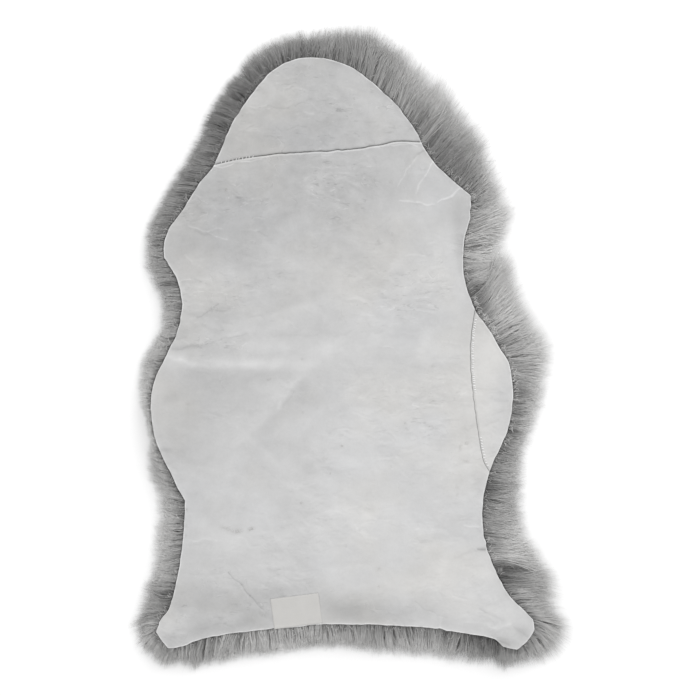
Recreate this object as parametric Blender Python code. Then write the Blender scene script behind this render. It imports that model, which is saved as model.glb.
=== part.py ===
"""A sheepskin rug lying wool side down, its pale flesh side up.

Three panels of skin, sewn edge to edge, lie on one lumpy slab of wool whose locks are combed outward
all round the rim. Metres, +Z up, +Y towards the crown, the origin under the middle of the rug.
"""

import math

import bpy
import numpy as np
from mathutils import Vector
from mathutils.bvhtree import BVHTree
from mathutils.geometry import delaunay_2d_cdt

MM = 0.001
SEED = 11

# Driving dimensions, in millimetres.
SKIN_THICK = 1.6
SEAM_GAP = 0.36  # between two panels
LAY_GAP = 0.34  # between a piece and the piece that it lies on
LOFT = 40.0  # height of the skin's upper face at the middle of the rug
EDGE_DROOP = 8.0  # how much lower the skin lies at its edge
DROOP_LENGTH = 38.0
EDGE_STEP = 9.0  # spacing of the points round the edge, and so of the locks
GRID = 18.5  # spacing of the points inside the panels
LABEL_SIZE = (72.0, 44.5)
LABEL_MIDDLE = (-78.5, -388.0)
LABEL_TURN = 7.5  # degrees
LABEL_THICK = 0.7

# The skin's edge, clockwise from the crown, with how far the wool stands out beyond it.
# name, x, y, reach
EDGE = (
    ("crown", -56, 443, 33),
    ("crown_right", -2, 431.5, 47),
    ("brow_right", 23, 416, 54),
    ("temple_right", 76, 368, 56),
    ("cheek_right", 105, 327, 62),
    ("head_seam_right", 109, 316, 66),
    ("neck_right", 131, 283, 76),
    ("shoulder_right_top", 166, 250, 62),
    ("shoulder_right_tip", 184, 234, 52),
    ("arm_right", 184, 206, 47),
    ("chest_right", 176, 172, 51),
    ("ribs_right", 173, 142, 56),
    ("waist_right", 175, 110, 64),
    ("side_seam_top", 191, 63, 68),
    ("flank_right_top", 213, 32, 62),
    ("flank_right_upper", 230, 3, 60),
    ("flank_right_bulge", 242, -19, 52),
    ("flank_right", 248, -58, 42),
    ("flank_right_lower", 241, -114, 32),
    ("hip_right", 230, -140, 33),
    ("side_seam_bottom", 213, -180, 41),
    ("loin_right", 205, -210, 51),
    ("leg_right_top", 202, -245, 61),
    ("leg_right_upper", 205, -280, 64),
    ("leg_right", 214, -310, 68),
    ("shank_right", 227, -339, 70),
    ("ankle_right", 241, -364, 71),
    ("foot_right_outer", 263, -387, 60),
    ("foot_right_heel", 278, -402, 48),
    ("foot_right_side", 280, -418, 40),
    ("foot_right_tip", 266, -438, 33),
    ("foot_right_toe", 254, -447, 27),
    ("foot_right_inner", 233, -443, 27),
    ("foot_right_notch", 221, -431, 34),
    ("hem_right_end", 196, -426, 39),
    ("hem_right", 142, -417, 40),
    ("hem_middle_right", 50, -410, 37),
    ("hem_middle", -2, -409, 36),
    ("hem_label", -66, -410.5, 37),
    ("hem_left_of_label", -123, -417, 38),
    ("hem_left", -187, -425, 40),
    ("hem_left_end", -229, -434, 33),
    ("foot_left_inner", -249, -443, 28),
    ("foot_left_toe", -271, -446, 29),
    ("foot_left_tip", -288, -422, 30),
    ("foot_left_heel", -285, -407, 33),
    ("foot_left_outer", -271, -390, 41),
    ("ankle_left", -263, -367, 42),
    ("shank_left", -256, -337, 40),
    ("leg_left", -249, -292, 35),
    ("leg_left_top", -246, -256, 36),
    ("loin_left", -246, -224, 40),
    ("hip_left_low", -257, -202, 34),
    ("hip_left", -276, -164, 22),
    ("flank_left_lower", -289, -134, 14),
    ("flank_left", -296, -96, 15),
    ("flank_left_bulge", -296, -68, 17),
    ("flank_left_upper", -290, -40, 20),
    ("waist_left_low", -277, -13, 28),
    ("waist_left_fold", -267, 8, 28),
    ("waist_left_low_cove", -256, 33, 29),
    ("waist_left", -249, 72, 30),
    ("waist_left_cove", -257, 110, 34),
    ("arm_left_low", -275, 141, 27),
    ("arm_left", -277, 162, 26),
    ("arm_left_top", -270, 183, 28),
    ("shoulder_left", -246, 218, 32),
    ("shoulder_left_top", -222, 255, 31),
    ("head_seam_left", -201, 282, 31),
    ("cheek_left", -175, 342, 36),
    ("temple_left", -146, 386, 38),
    ("brow_left", -107, 428, 38),
)

# The two seams, from the first station named to the second. name, x, y
HEAD_SEAM = (
    ("head_seam_left", -201, 282),
    ("rising", -169, 289),
    ("left_third", -99, 298),
    ("middle", 0, 304.5),
    ("right_third", 50, 311.5),
    ("flattening", 73, 316.5),
    ("head_seam_right", 109, 316),
)
SIDE_SEAM = (
    ("side_seam_top", 191, 63),
    ("upper", 186.5, 35),
    ("belly", 184, 6),
    ("middle", 185.5, -38),
    ("lower_middle", 190, -84),
    ("lower", 197, -128),
    ("tail", 204, -164),
    ("side_seam_bottom", 213, -180),
)

# Broad swells of the skin, where the wool beneath it is uneven. length, heading in degrees, phase, height
SWELLS = (
    (410.0, 72.0, 0.4, 1.3),
    (290.0, -28.0, 2.1, 0.9),
    (215.0, 14.0, 4.0, 0.8),
    (165.0, 118.0, 1.2, 0.6),
    (128.0, 55.0, 5.2, 0.5),
)

# The main folds of the skin: soft ridges, and troughs where the height is negative.
# name, x from, y from, x to, y to, half width, height
FOLDS = (
    ("flank_ridge", -272, -6, -112, -14, 17, 1.7),
    ("flank_trough", -268, 16, -190, 24, 16, -1.3),
    ("belly_ridge", -72, -34, -130, -118, 18, 1.5),
    ("waist_ridge", -246, 74, -165, 69, 15, 1.4),
    ("waist_trough", -248, 96, -168, 108, 16, -1.2),
    ("neck_arc", -236, 188, -178, 178, 15, 1.3),
    ("foot_crease", -180, -330, -123, -390, 13, -1.5),
    ("shoulder_pinch", 168, 249, 134, 221, 14, 2.0),
    ("collar_pinch", 128, 282, 108, 236, 13, 1.7),
    ("nape_pucker", 116, 303, 92, 294, 12, 1.5),
    ("arm_strip", 161, 217, 158, 116, 13, -2.6),
    ("foot_tuck", 226, -418, 206, -408, 14, -1.8),
)

# How the wool's rim rounds down to the floor: share of the reach, share of the edge's height.
# name, out, up
RIM = (
    ("brow", 0.26, 0.84),
    ("cheek", 0.47, 0.50),
    ("chin", 0.53, 0.25),
    ("floor", 0.50, 0.0),
)
# The rows of locks, each rooted between two lines of the rim. Out and up are the shares at the
# middle of the lock's upper and lower faces, and swell is its width there against its root's.
# name, upper line, every second column from, out, up of the top, up of the underside, swell, tip up
LOCK_ROWS = (
    ("hanging", 1, 1, 0.76, 0.50, 0.30, 1.20, 0.11),
    ("lying", 3, 0, 0.76, 0.19, 0.0, 1.15, 0.0),
)
CLUMP = 4  # locks that lean the same way
LEAN = 4.0  # how far a clump's tips lean along the edge
TIP_SPREAD = 0.09  # unevenness of the locks' length
LUMP = 0.15  # unevenness of the rim

MATERIALS = {
    "skin": ((0.66, 0.66, 0.65), 0.85),
    "skin_head": ((0.60, 0.60, 0.59), 0.86),
    "skin_side": ((0.68, 0.68, 0.67), 0.84),
    "label": ((0.60, 0.60, 0.575), 0.7),
    "wool": ((0.34, 0.34, 0.33), 0.95),
}


def clear_scene():
    for obj in list(bpy.data.objects):
        bpy.data.objects.remove(obj, do_unlink=True)


def catmull_rom(p0, p1, p2, p3, count):
    """Points from p1 towards p2, p2 left out, on the centripetal curve through the four."""
    knots = [0.0]
    for a, b in ((p0, p1), (p1, p2), (p2, p3)):
        knots.append(knots[-1] + math.sqrt(max(np.linalg.norm(b - a), 1e-6)))
    t = np.linspace(knots[1], knots[2], count, endpoint=False)[:, None]

    def mix(a, b, ta, tb):
        return ((tb - t) * a + (t - ta) * b) / (tb - ta)

    a1, a2, a3 = mix(p0, p1, *knots[0:2]), mix(p1, p2, *knots[1:3]), mix(p2, p3, *knots[2:4])
    b1, b2 = mix(a1, a2, knots[0], knots[2]), mix(a2, a3, knots[1], knots[3])
    return mix(b1, b2, knots[1], knots[2])


def edge_points():
    """Points round the edge, the reach at each, and the index at which each station falls."""
    places = np.array([row[1:3] for row in EDGE], float)
    reaches = np.array([row[3] for row in EDGE], float)
    points, reach, index = [], [], {}
    for i, row in enumerate(EDGE):
        ring = [places[(i + k) % len(EDGE)] for k in (-1, 0, 1, 2)]
        count = max(1, round(np.linalg.norm(ring[2] - ring[1]) / EDGE_STEP))
        index[row[0]] = len(points)
        points.extend(catmull_rom(*ring, count))
        share = np.arange(count) / count
        reach.extend(reaches[i] * (1 - share) + reaches[(i + 1) % len(EDGE)] * share)
    return np.array(points), np.array(reach), index


def seam_points(rows):
    """Points along a seam between its two ends, the ends left out."""
    places = np.array([row[1:3] for row in rows], float)
    ends = np.vstack([2 * places[0] - places[1], places, 2 * places[-1] - places[-2]])
    points = []
    for i in range(len(places) - 1):
        count = max(1, round(np.linalg.norm(places[i + 1] - places[i]) / (EDGE_STEP * 1.4)))
        points.extend(catmull_rom(*ends[i : i + 4], count))
    return np.array(points[1:])


def outward(points, window=9):
    """Directions out of the edge, evened over a few neighbours."""
    even = sum(np.roll(points, k, axis=0) for k in range(-(window // 2), window // 2 + 1))
    along = np.roll(even, -1, axis=0) - np.roll(even, 1, axis=0)
    normal = np.column_stack([-along[:, 1], along[:, 0]])
    return normal / np.linalg.norm(normal, axis=1)[:, None]


def distance_to_lines(at, starts, ends):
    """Distance from each point to the nearest of the lines."""
    run = ends - starts
    to = at[:, None, :] - starts[None]
    share = np.clip((to * run).sum(2) / np.maximum((run**2).sum(1), 1e-9), 0, 1)
    return np.linalg.norm(to - share[..., None] * run, axis=2).min(axis=1)


def skin_height(at, edge):
    """Height of the skin's upper face at each point."""
    inside = distance_to_lines(at, edge, np.roll(edge, -1, axis=0))
    height = LOFT - EDGE_DROOP * np.exp(-((inside / DROOP_LENGTH) ** 1.4))
    for length, heading, phase, rise in SWELLS:
        way = np.array([math.cos(math.radians(heading)), math.sin(math.radians(heading))])
        height += rise * np.sin(at @ way * 2 * math.pi / length + phase)
    for _, x0, y0, x1, y1, half, rise in FOLDS:
        line = np.array([[x0, y0]], float), np.array([[x1, y1]], float)
        height += rise * np.exp(-((distance_to_lines(at, *line) / half) ** 2))
    return height


def inside_polygon(at, ring):
    """Which points lie inside the ring, by counting crossings."""
    x, y = at[:, 0, None], at[:, 1, None]
    (x0, y0), (x1, y1) = ring.T, np.roll(ring, -1, axis=0).T
    crosses = (y0 > y) != (y1 > y)
    slope = (x1 - x0) / np.where(y1 == y0, 1e-9, y1 - y0)
    return (crosses & (x < x0 + slope * (y - y0))).sum(1) % 2 == 1


def grid_inside(ring, rng):
    """Uneven points inside the ring, clear of its line."""
    low, high = ring.min(0), ring.max(0)
    rise = GRID * math.sqrt(3) / 2
    rows = [
        (x + (r % 2) * GRID / 2, y)
        for r, y in enumerate(np.arange(low[1], high[1], rise))
        for x in np.arange(low[0], high[0], GRID)
    ]
    at = np.array(rows) + rng.uniform(-0.13, 0.13, (len(rows), 2)) * GRID
    at = at[inside_polygon(at, ring)]
    return at[distance_to_lines(at, ring, np.roll(ring, -1, axis=0)) > GRID * 0.52]


def triangulate(points, loop, inner):
    """Triangles over the loop, facing up, as indices into points."""
    chosen = list(loop) + list(inner)
    flat = [Vector(points[i]) for i in chosen]
    ring = [(k, (k + 1) % len(loop)) for k in range(len(loop))]
    result = delaunay_2d_cdt(flat, ring, [], 0, 1e-7, True)
    names = [chosen[origin[0]] for origin in result[3]]
    found = np.array([[names[k] for k in face] for face in result[2]])
    corners = points[found]
    found = found[inside_polygon(corners.mean(axis=1), points[loop])]
    faces = []
    for a, b, c in found.tolist():
        turn = np.cross(points[b] - points[a], points[c] - points[a])
        faces.append((a, b, c) if turn > 0 else (a, c, b))
    return faces


def make_object(name, material, verts, faces, smooth_to=50):
    mesh = bpy.data.meshes.new(name)
    mesh.from_pydata([tuple(v) for v in np.asarray(verts) * MM], [], faces)
    mesh.validate()
    mesh.shade_smooth()
    mesh.set_sharp_from_angle(angle=math.radians(smooth_to))
    mesh.materials.append(make_material(material))
    obj = bpy.data.objects.new(name, mesh)
    bpy.context.scene.collection.objects.link(obj)
    return obj


def make_material(name):
    colour, roughness = MATERIALS[name]
    material = bpy.data.materials.new(name)
    material.use_nodes = True
    shader = material.node_tree.nodes["Principled BSDF"]
    shader.inputs["Base Color"].default_value = (*colour, 1)
    shader.inputs["Roughness"].default_value = roughness
    shader.inputs["Metallic"].default_value = 0.0
    return material


def sheet_solid(top, thick, faces, loop):
    """Vertices and faces of a sheet: its upper face, the same face lower down, and its cut edge."""
    used = sorted({i for face in faces for i in face})
    place = {old: new for new, old in enumerate(used)}
    count = len(used)
    verts = np.vstack([top[used], top[used] - (0, 0, thick)])
    upper = [tuple(place[i] for i in face) for face in faces]
    lower = [tuple(place[i] + count for i in reversed(face)) for face in faces]
    rim = []
    for a, b in zip(loop, loop[1:] + loop[:1]):
        a, b = place[a], place[b]
        rim.append((a, b, b + count, a + count))
    return verts, upper + lower + rim


class Layout:
    """The rug seen from above: its edge, its seams and the triangles of each panel."""

    def __init__(self):
        rng = np.random.default_rng(SEED)
        self.edge, self.reach, self.station = edge_points()
        self.out = outward(self.edge)
        seams = {"head": seam_points(HEAD_SEAM), "side": seam_points(SIDE_SEAM)}
        points, count = [self.edge], len(self.edge)
        self.seam = {}
        for name, line in seams.items():
            self.seam[name] = list(range(count, count + len(line)))
            points.append(line)
            count += len(line)
        at = np.vstack(points)
        self.loops = self.panel_loops()
        self.faces = {}
        inner = {}
        for name, loop in self.loops.items():
            more = grid_inside(at[loop], rng)
            inner[name] = range(count, count + len(more))
            points.append(more)
            count += len(more)
        self.at = np.vstack(points)
        for name, loop in self.loops.items():
            self.faces[name] = triangulate(self.at, loop, inner[name])
        self.height = skin_height(self.at, self.edge)

    def run(self, start, end):
        """Edge indices from one station to another, clockwise, both in."""
        a, b = self.station[start], self.station[end]
        count = len(self.edge)
        return [(a + k) % count for k in range((b - a) % count + 1)]

    def panel_loops(self):
        """Each panel's boundary, clockwise."""
        head, side = self.seam["head"], self.seam["side"]
        body = self.run("head_seam_right", "side_seam_top") + side
        body += self.run("side_seam_bottom", "head_seam_left") + head
        return {
            "main": body,
            "head": self.run("head_seam_left", "head_seam_right") + head[::-1],
            "side": self.run("side_seam_top", "side_seam_bottom") + side[::-1],
        }

    def shifted(self, panel):
        """Points of the panel with its seam edges drawn back by half the seam's gap."""
        at = self.at.copy()
        ends = {
            "head": ("head_seam_left", "head_seam_right", "head"),
            "side": ("side_seam_top", "side_seam_bottom", "side"),
        }
        for seam, (start, end, beyond) in ends.items():
            line = [self.station[start], *self.seam[seam], self.station[end]]
            along = np.gradient(self.at[line], axis=0)
            across = np.column_stack([-along[:, 1], along[:, 0]])
            across /= np.linalg.norm(across, axis=1)[:, None]
            side = 1 if panel == beyond else -1
            at[line] += across * side * SEAM_GAP / 2
        return at


def build_panel(layout, panel, name, material):
    top = np.column_stack([layout.shifted(panel), layout.height])
    loop = layout.loops[panel]
    verts, faces = sheet_solid(top, SKIN_THICK, layout.faces[panel], loop)
    return make_object(name, material, verts, faces, 40)


def build_label(skin):
    """A blank rectangle that lies askew on the skin, along its lower edge."""
    tree = BVHTree.FromObject(skin, bpy.context.evaluated_depsgraph_get())
    width, depth = LABEL_SIZE
    turn = math.radians(LABEL_TURN)
    across, down = 13, 9
    top, faces = [], []
    for j in range(down):
        for i in range(across):
            u, v = (i / (across - 1) - 0.5) * width, (j / (down - 1) - 0.5) * depth
            x = LABEL_MIDDLE[0] + u * math.cos(turn) - v * math.sin(turn)
            y = LABEL_MIDDLE[1] + u * math.sin(turn) + v * math.cos(turn)
            hit = tree.ray_cast(Vector((x * MM, y * MM, 1)), Vector((0, 0, -1)))[0]
            top.append((x, y, hit.z / MM + LAY_GAP + LABEL_THICK))
    for j in range(down - 1):
        for i in range(across - 1):
            a = j * across + i
            faces += [(a, a + 1, a + across + 1), (a, a + across + 1, a + across)]
    near, far = list(range(across)), list(range(across * (down - 1), across * down))
    left = [across * j for j in range(1, down - 1)]
    right = [across * j + across - 1 for j in range(1, down - 1)]
    loop = left + far + right[::-1] + near[::-1]
    verts, faces = sheet_solid(np.array(top), LABEL_THICK, faces, loop)
    return make_object("label", "label", verts, faces, 40)


class Fleece:
    """The wool: a slab under the skin, its rounded rim and the locks that stand out of the rim."""

    def __init__(self, layout):
        self.layout = layout
        self.count = len(layout.edge)
        self.rng = np.random.default_rng(SEED + 1)
        under = layout.height - SKIN_THICK - LAY_GAP
        self.verts = [tuple(p) for p in np.column_stack([layout.at, under])]
        self.faces = [f for panel in layout.faces.values() for f in panel]
        self.tall = under[: self.count]

    def unevenness(self, size, width):
        """Smooth random shares round the rim."""
        raw = self.rng.uniform(-1, 1, self.count)
        even = sum(np.roll(raw, k) for k in range(width)) / math.sqrt(width)
        return 1 + size * even

    def add_rings(self):
        """The lines of the rim, each a ring of vertices below the one before."""
        self.rings = [list(range(self.count))]
        for _, out, up in RIM:
            reach = self.layout.reach * out * self.unevenness(LUMP, 3)
            spot = self.layout.edge + self.layout.out * reach[:, None]
            tall = self.tall * up * self.unevenness(LUMP / 2, 3)
            start = len(self.verts)
            self.verts += [tuple(p) for p in np.column_stack([spot, tall])]
            self.rings.append(list(range(start, start + self.count)))

    def rooted(self):
        """Which quads of the rim carry a lock, and the row that each belongs to."""
        found = {}
        for row in LOCK_ROWS:
            for column in range(row[2], self.count - self.count % 2, 2):
                found[row[1], column] = row
        return found

    def add_rim(self):
        taken = self.rooted()
        for line in range(len(self.rings) - 1):
            upper, lower = self.rings[line], self.rings[line + 1]
            for i in range(self.count):
                j = (i + 1) % self.count
                quad = (upper[i], upper[j], lower[j], lower[i])
                if (line, i) not in taken:
                    self.faces.append(quad)
        lean = np.repeat(self.rng.uniform(-LEAN, LEAN, self.count // CLUMP + 1), CLUMP)
        long = self.unevenness(TIP_SPREAD, 2)
        for (line, i), row in taken.items():
            self.add_lock(line, i, row, lean[i], long[i])

    def add_lock(self, line, i, row, lean, long):
        """A four-sided lock, swelling a little from its root and drawn out to a point."""
        _, _, _, out, top_up, under_up, swell, tip_up = row
        j = (i + 1) % self.count
        root = [self.rings[line][i], self.rings[line][j]]
        root += [self.rings[line + 1][j], self.rings[line + 1][i]]
        middle = (self.layout.edge[i] + self.layout.edge[j]) / 2
        way = self.layout.out[i] + self.layout.out[j]
        way /= np.linalg.norm(way)
        along = np.array([way[1], -way[0]])
        reach = (self.layout.reach[i] + self.layout.reach[j]) / 2 * long
        tall = (self.tall[i] + self.tall[j]) / 2
        places = np.array([self.verts[k] for k in root])[:, :2]
        half = abs((places[1] - places[0]) @ along) / 2 * swell
        belly = middle + way * reach * out + along * lean * 0.45
        start = len(self.verts)
        for side, up in ((-1, top_up), (1, top_up), (1, under_up), (-1, under_up)):
            spot = belly + along * side * half
            self.verts.append((spot[0], spot[1], tall * up))
        tip = middle + way * reach + along * lean
        self.verts.append((tip[0], tip[1], tall * tip_up))
        ring = [start + k for k in range(4)]
        for k in range(4):
            n = (k + 1) % 4
            self.faces.append((root[k], root[n], ring[n], ring[k]))
            self.faces.append((ring[k], ring[n], start + 4))

    def add_underside(self):
        flat = np.array([self.verts[k] for k in self.rings[-1]])[:, :2]
        at = np.vstack([np.zeros((self.rings[-1][0], 2)), flat])
        self.faces += [f[::-1] for f in triangulate(at, self.rings[-1], [])]


def build_wool(layout):
    fleece = Fleece(layout)
    fleece.add_rings()
    fleece.add_rim()
    fleece.add_underside()
    return make_object("wool", "wool", fleece.verts, fleece.faces, 60)


def centre(objects):
    """Sets the origin under the middle of the rug's footprint."""
    places = [obj.matrix_world @ v.co for obj in objects for v in obj.data.vertices]
    x = (min(p.x for p in places) + max(p.x for p in places)) / 2
    y = (min(p.y for p in places) + max(p.y for p in places)) / 2
    for obj in objects:
        for v in obj.data.vertices:
            v.co -= Vector((x, y, 0))


clear_scene()
rug = Layout()
skin = build_panel(rug, "main", "hide_main", "skin")
parts = [
    skin,
    build_panel(rug, "head", "hide_head", "skin_head"),
    build_panel(rug, "side", "hide_side", "skin_side"),
    build_label(skin),
    build_wool(rug),
]
centre(parts)
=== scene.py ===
"""Looks of the sheepskin rug: three panels of suede-like skin, their seams, the blank label and the wool."""

import math

import bpy
import numpy as np
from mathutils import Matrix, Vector
from mathutils.geometry import delaunay_2d_cdt


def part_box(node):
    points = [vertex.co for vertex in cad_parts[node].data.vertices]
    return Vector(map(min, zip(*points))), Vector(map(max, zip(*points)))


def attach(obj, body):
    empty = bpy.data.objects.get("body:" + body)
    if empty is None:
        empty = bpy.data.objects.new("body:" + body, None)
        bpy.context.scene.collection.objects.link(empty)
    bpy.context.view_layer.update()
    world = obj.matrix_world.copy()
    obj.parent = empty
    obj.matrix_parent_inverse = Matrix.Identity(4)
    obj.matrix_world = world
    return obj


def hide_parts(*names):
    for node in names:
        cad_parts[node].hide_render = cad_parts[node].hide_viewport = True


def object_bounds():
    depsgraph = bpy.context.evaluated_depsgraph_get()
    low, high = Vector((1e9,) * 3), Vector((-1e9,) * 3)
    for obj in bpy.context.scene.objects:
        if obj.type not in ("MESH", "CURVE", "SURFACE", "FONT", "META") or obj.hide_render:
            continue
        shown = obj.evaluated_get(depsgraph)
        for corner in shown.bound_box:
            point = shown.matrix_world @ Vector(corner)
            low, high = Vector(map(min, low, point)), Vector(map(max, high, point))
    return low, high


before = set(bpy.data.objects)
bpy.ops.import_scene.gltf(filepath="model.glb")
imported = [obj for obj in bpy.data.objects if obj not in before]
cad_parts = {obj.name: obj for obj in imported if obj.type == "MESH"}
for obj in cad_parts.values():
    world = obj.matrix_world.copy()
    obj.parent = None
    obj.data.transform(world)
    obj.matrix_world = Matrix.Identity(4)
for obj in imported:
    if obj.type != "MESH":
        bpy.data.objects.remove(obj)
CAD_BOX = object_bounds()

MM = 0.001
SEED = 23
SEEDS = {"skin": 0, "panels": 1, "thread": 3, "rim": 7, "mass": 9, "locks": 61, "fuzz": 91}

# Sizes in millimetres, as the solids have them.
SKIN_THICK = 1.6
SEAM_GAP = 0.36
LAY_GAP = 0.34
LOFT = 40.0
EDGE_DROOP = 8.0
DROOP_LENGTH = 38.0
DROOP_POWER = 1.4
LABEL_MIDDLE = (-78.5, -388.0)
LABEL_TURN = 7.5
LABEL_THICK = 0.7

# The label with its sewn edges, which the solid leaves out.
LABEL_SIZE = (73.0, 46.5)
LABEL_SEWN_MIDDLE = (-77.6, -389.2)
LABEL_GRID = (49, 31)
LABEL_LIFT, LABEL_LIFT_WIDE = 0.5, 5.0  # of its upper edge
LABEL_SEWN_WIDE = 1.2  # width of its sewn edges
LABEL_SEWN_THIN = 0.65  # how much thinner it is there
LABEL_SEWN_CLOSE = 0.75  # how much closer to the skin
LABEL_WAVE = 0.12

SLACK = 0.7  # how much lower the unseen under-faces lie, so that no crease cuts through them

# Sizes of the finer meshes.
EDGE_STEP = 2.4
GRID = 3.0
UNDER_GRID = 9.0
CREASE_STEP = 2.4
CREASE_ROWS = (-1.3, -0.6, 0.0, 0.6, 1.3)  # points across a crease, in its half widths
EDGE_ROWS = (1.0, 2.4)  # how far inside the edge extra points lie
SEAM_ROWS = (-4.0, -2.6, -1.6, -0.8, 0.8, 1.6, 2.6, 4.0)  # and how far beside a seam
GRID_UNEVEN = 0.12  # how far grid points may stand from their even places, in spacings
RING_CLEAR = 0.5  # spacings that the grid keeps clear of the ring
EXTRA_CLEAR = 0.42  # spacings that it keeps clear of the extra points
EXTRA_RING_CLEAR = 0.55  # how far the extra points keep clear of the ring
EXTRA_APART = 0.7
CHUNK = 2000  # points taken at a time where distances are measured

# Stations of the skin's edge, clockwise from the crown. Name: x, y, then how the wool lies there (heading of
# the locks in degrees, reach, softness of the tips) and its tones (at the root, half-way, at the tip). Where
# either is None, it follows from the stations on both sides.
# The wool tones carry painted shade as well as the wool's own grey: they are darker on the left, away from
# the key light, than on the right, and part of their darkness at the roots is painted shade.
STATIONS = {
    "crown": (-56, 443, (92, 37, 13), (0.27, 0.30, 0.42)),
    "crown_right": (-2, 431.5, (86, 51, 14), None),
    "brow_right": (23, 416, (76, 66, 15), (0.42, 0.37, 0.46)),
    "temple_right": (76, 368, (66, 63, 17), (0.46, 0.47, 0.58)),
    "cheek_right": (105, 327, (60, 70, 18), (0.34, 0.43, 0.61)),
    "head_seam_right": (109, 316, None, (0.40, 0.46, 0.58)),
    "neck_right": (131, 283, (57, 89, 18), (0.28, 0.27, 0.59)),
    "shoulder_right_top": (166, 250, (50, 68, 17), (0.30, 0.34, 0.56)),
    "shoulder_right_tip": (184, 234, (40, 47, 14), None),
    "arm_right": (184, 206, (26, 48, 14), (0.46, 0.52, 0.78)),
    "chest_right": (176, 172, (16, 69, 15), None),
    "ribs_right": (173, 142, (12, 58, 15), (0.62, 0.69, 0.82)),
    "waist_right": (175, 110, (17, 54, 15), (0.31, 0.50, 0.75)),
    "side_seam_top": (191, 63, (46, 86, 15), (0.25, 0.52, 0.70)),
    "flank_right_top": (213, 32, (26, 68, 15), (0.50, 0.69, 0.78)),
    "flank_right_upper": (230, 3, (12, 75, 14), None),
    "flank_right_bulge": (242, -19, (4, 62, 14), (0.43, 0.54, 0.76)),
    "flank_right": (248, -58, (0, 45, 14), None),
    "flank_right_lower": (241, -114, (-3, 35, 12), None),
    "hip_right": (230, -140, (-10, 34, 12), (0.30, 0.43, 0.60)),
    "side_seam_bottom": (213, -180, (-18, 49, 14), None),
    "loin_right": (205, -210, (-10, 56, 14), (0.24, 0.43, 0.60)),
    "leg_right_top": (202, -245, None, None),
    "leg_right_upper": (205, -280, (-9, 63, 15), None),
    "leg_right": (214, -310, (-3, 79, 15), (0.50, 0.68, 0.82)),
    "shank_right": (227, -339, (5, 75, 15), (0.20, 0.34, 0.62)),
    "ankle_right": (241, -364, (-16, 47, 14), (0.40, 0.56, 0.70)),
    "foot_right_outer": (263, -387, (-28, 29, 12), None),
    "foot_right_heel": (278, -402, (-34, 44, 12), None),
    "foot_right_side": (280, -418, (-44, 42, 12), (0.42, 0.64, 0.66)),
    "foot_right_tip": (266, -438, (-68, 34, 12), None),
    "foot_right_toe": (254, -447, (-86, 26, 8), None),
    "foot_right_inner": (233, -443, None, None),
    "foot_right_notch": (221, -431, (-90, 36, 11), None),
    "hem_right_end": (196, -426, (-90, 45, 11), (0.15, 0.28, 0.44)),
    "hem_right": (142, -417, (-90, 43, 11), (0.40, 0.60, 0.66)),
    "hem_middle_right": (50, -410, (-90, 46, 9), (0.34, 0.52, 0.58)),
    "hem_middle": (-2, -409, (-90, 37, 7), (0.42, 0.52, 0.58)),
    "hem_label": (-66, -410.5, (-90, 39, 7), (0.58, 0.64, 0.66)),
    "hem_left_of_label": (-123, -417, None, (0.62, 0.68, 0.70)),
    "hem_left": (-187, -425, (-92, 46, 8), (0.49, 0.57, 0.62)),
    "hem_left_end": (-229, -434, (-98, 42, 7), (0.38, 0.49, 0.56)),
    "foot_left_inner": (-249, -443, (-105, 26, 9), None),
    "foot_left_toe": (-271, -446, (-115, 34, 7), None),
    "foot_left_tip": (-288, -422, (-138, 28, 7), None),
    "foot_left_heel": (-285, -407, (-160, 28, 9), (0.44, 0.58, 0.62)),
    "foot_left_outer": (-271, -390, (-170, 39, 9), None),
    "ankle_left": (-263, -367, (-174, 46, 10), (0.22, 0.42, 0.54)),
    "shank_left": (-256, -337, (-177, 40, 10), (0.42, 0.56, 0.62)),
    "leg_left": (-249, -292, (-178, 40, 13), (0.48, 0.62, 0.68)),
    "leg_left_top": (-246, -256, None, None),
    "loin_left": (-246, -224, (-188, 38, 13), (0.34, 0.52, 0.63)),
    "hip_left_low": (-257, -202, None, None),
    "hip_left": (-276, -164, (-192, 20, 9), (0.34, 0.56, 0.64)),
    "flank_left_lower": (-289, -134, (-182, 9, 8), None),
    "flank_left": (-296, -96, (-180, 10, 8), (0.44, 0.60, 0.66)),
    "flank_left_bulge": (-296, -68, (-182, 17, 9), (0.42, 0.66, 0.78)),
    "flank_left_upper": (-290, -40, None, None),
    "waist_left_low": (-277, -13, (-188, 29, 9), None),
    "waist_left_fold": (-267, 8, None, None),
    "waist_left_low_cove": (-256, 33, (-184, 25, 7), None),
    "waist_left": (-249, 72, (-177, 31, 8), (0.42, 0.52, 0.60)),
    "waist_left_cove": (-257, 110, (-173, 32, 9), (0.40, 0.50, 0.58)),
    "arm_left_low": (-275, 141, (-177, 26, 8), None),
    "arm_left": (-277, 162, (-180, 27, 7), None),
    "arm_left_top": (-270, 183, None, None),
    "shoulder_left": (-246, 218, (-188, 36, 7), (0.31, 0.34, 0.42)),
    "shoulder_left_top": (-222, 255, None, None),
    "head_seam_left": (-201, 282, (-199, 41, 7), None),
    "cheek_left": (-175, 342, (-202, 42, 6), (0.25, 0.27, 0.32)),
    "temple_left": (-146, 386, (-212, 42, 6), (0.20, 0.23, 0.31)),
    "brow_left": (-107, 428, (-240, 42, 10), (0.25, 0.31, 0.46)),
}

# Points along the seams, from station to station. x, y
HEAD_SEAM = ((-201, 282), (-169, 289), (-99, 298), (0, 304.5), (50, 311.5), (73, 316.5), (109, 316))
SIDE_SEAM = (
    (191, 63), (186.5, 35), (184, 6), (185.5, -38), (190, -84), (197, -128), (204, -164), (213, -180),
)

# Broad swells of the skin. length, heading in degrees, phase, height
SWELLS = (
    (410.0, 72.0, 0.4, 1.3),
    (290.0, -28.0, 2.1, 0.9),
    (215.0, 14.0, 4.0, 0.8),
    (165.0, 118.0, 1.2, 0.6),
    (128.0, 55.0, 5.2, 0.5),
)
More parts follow.
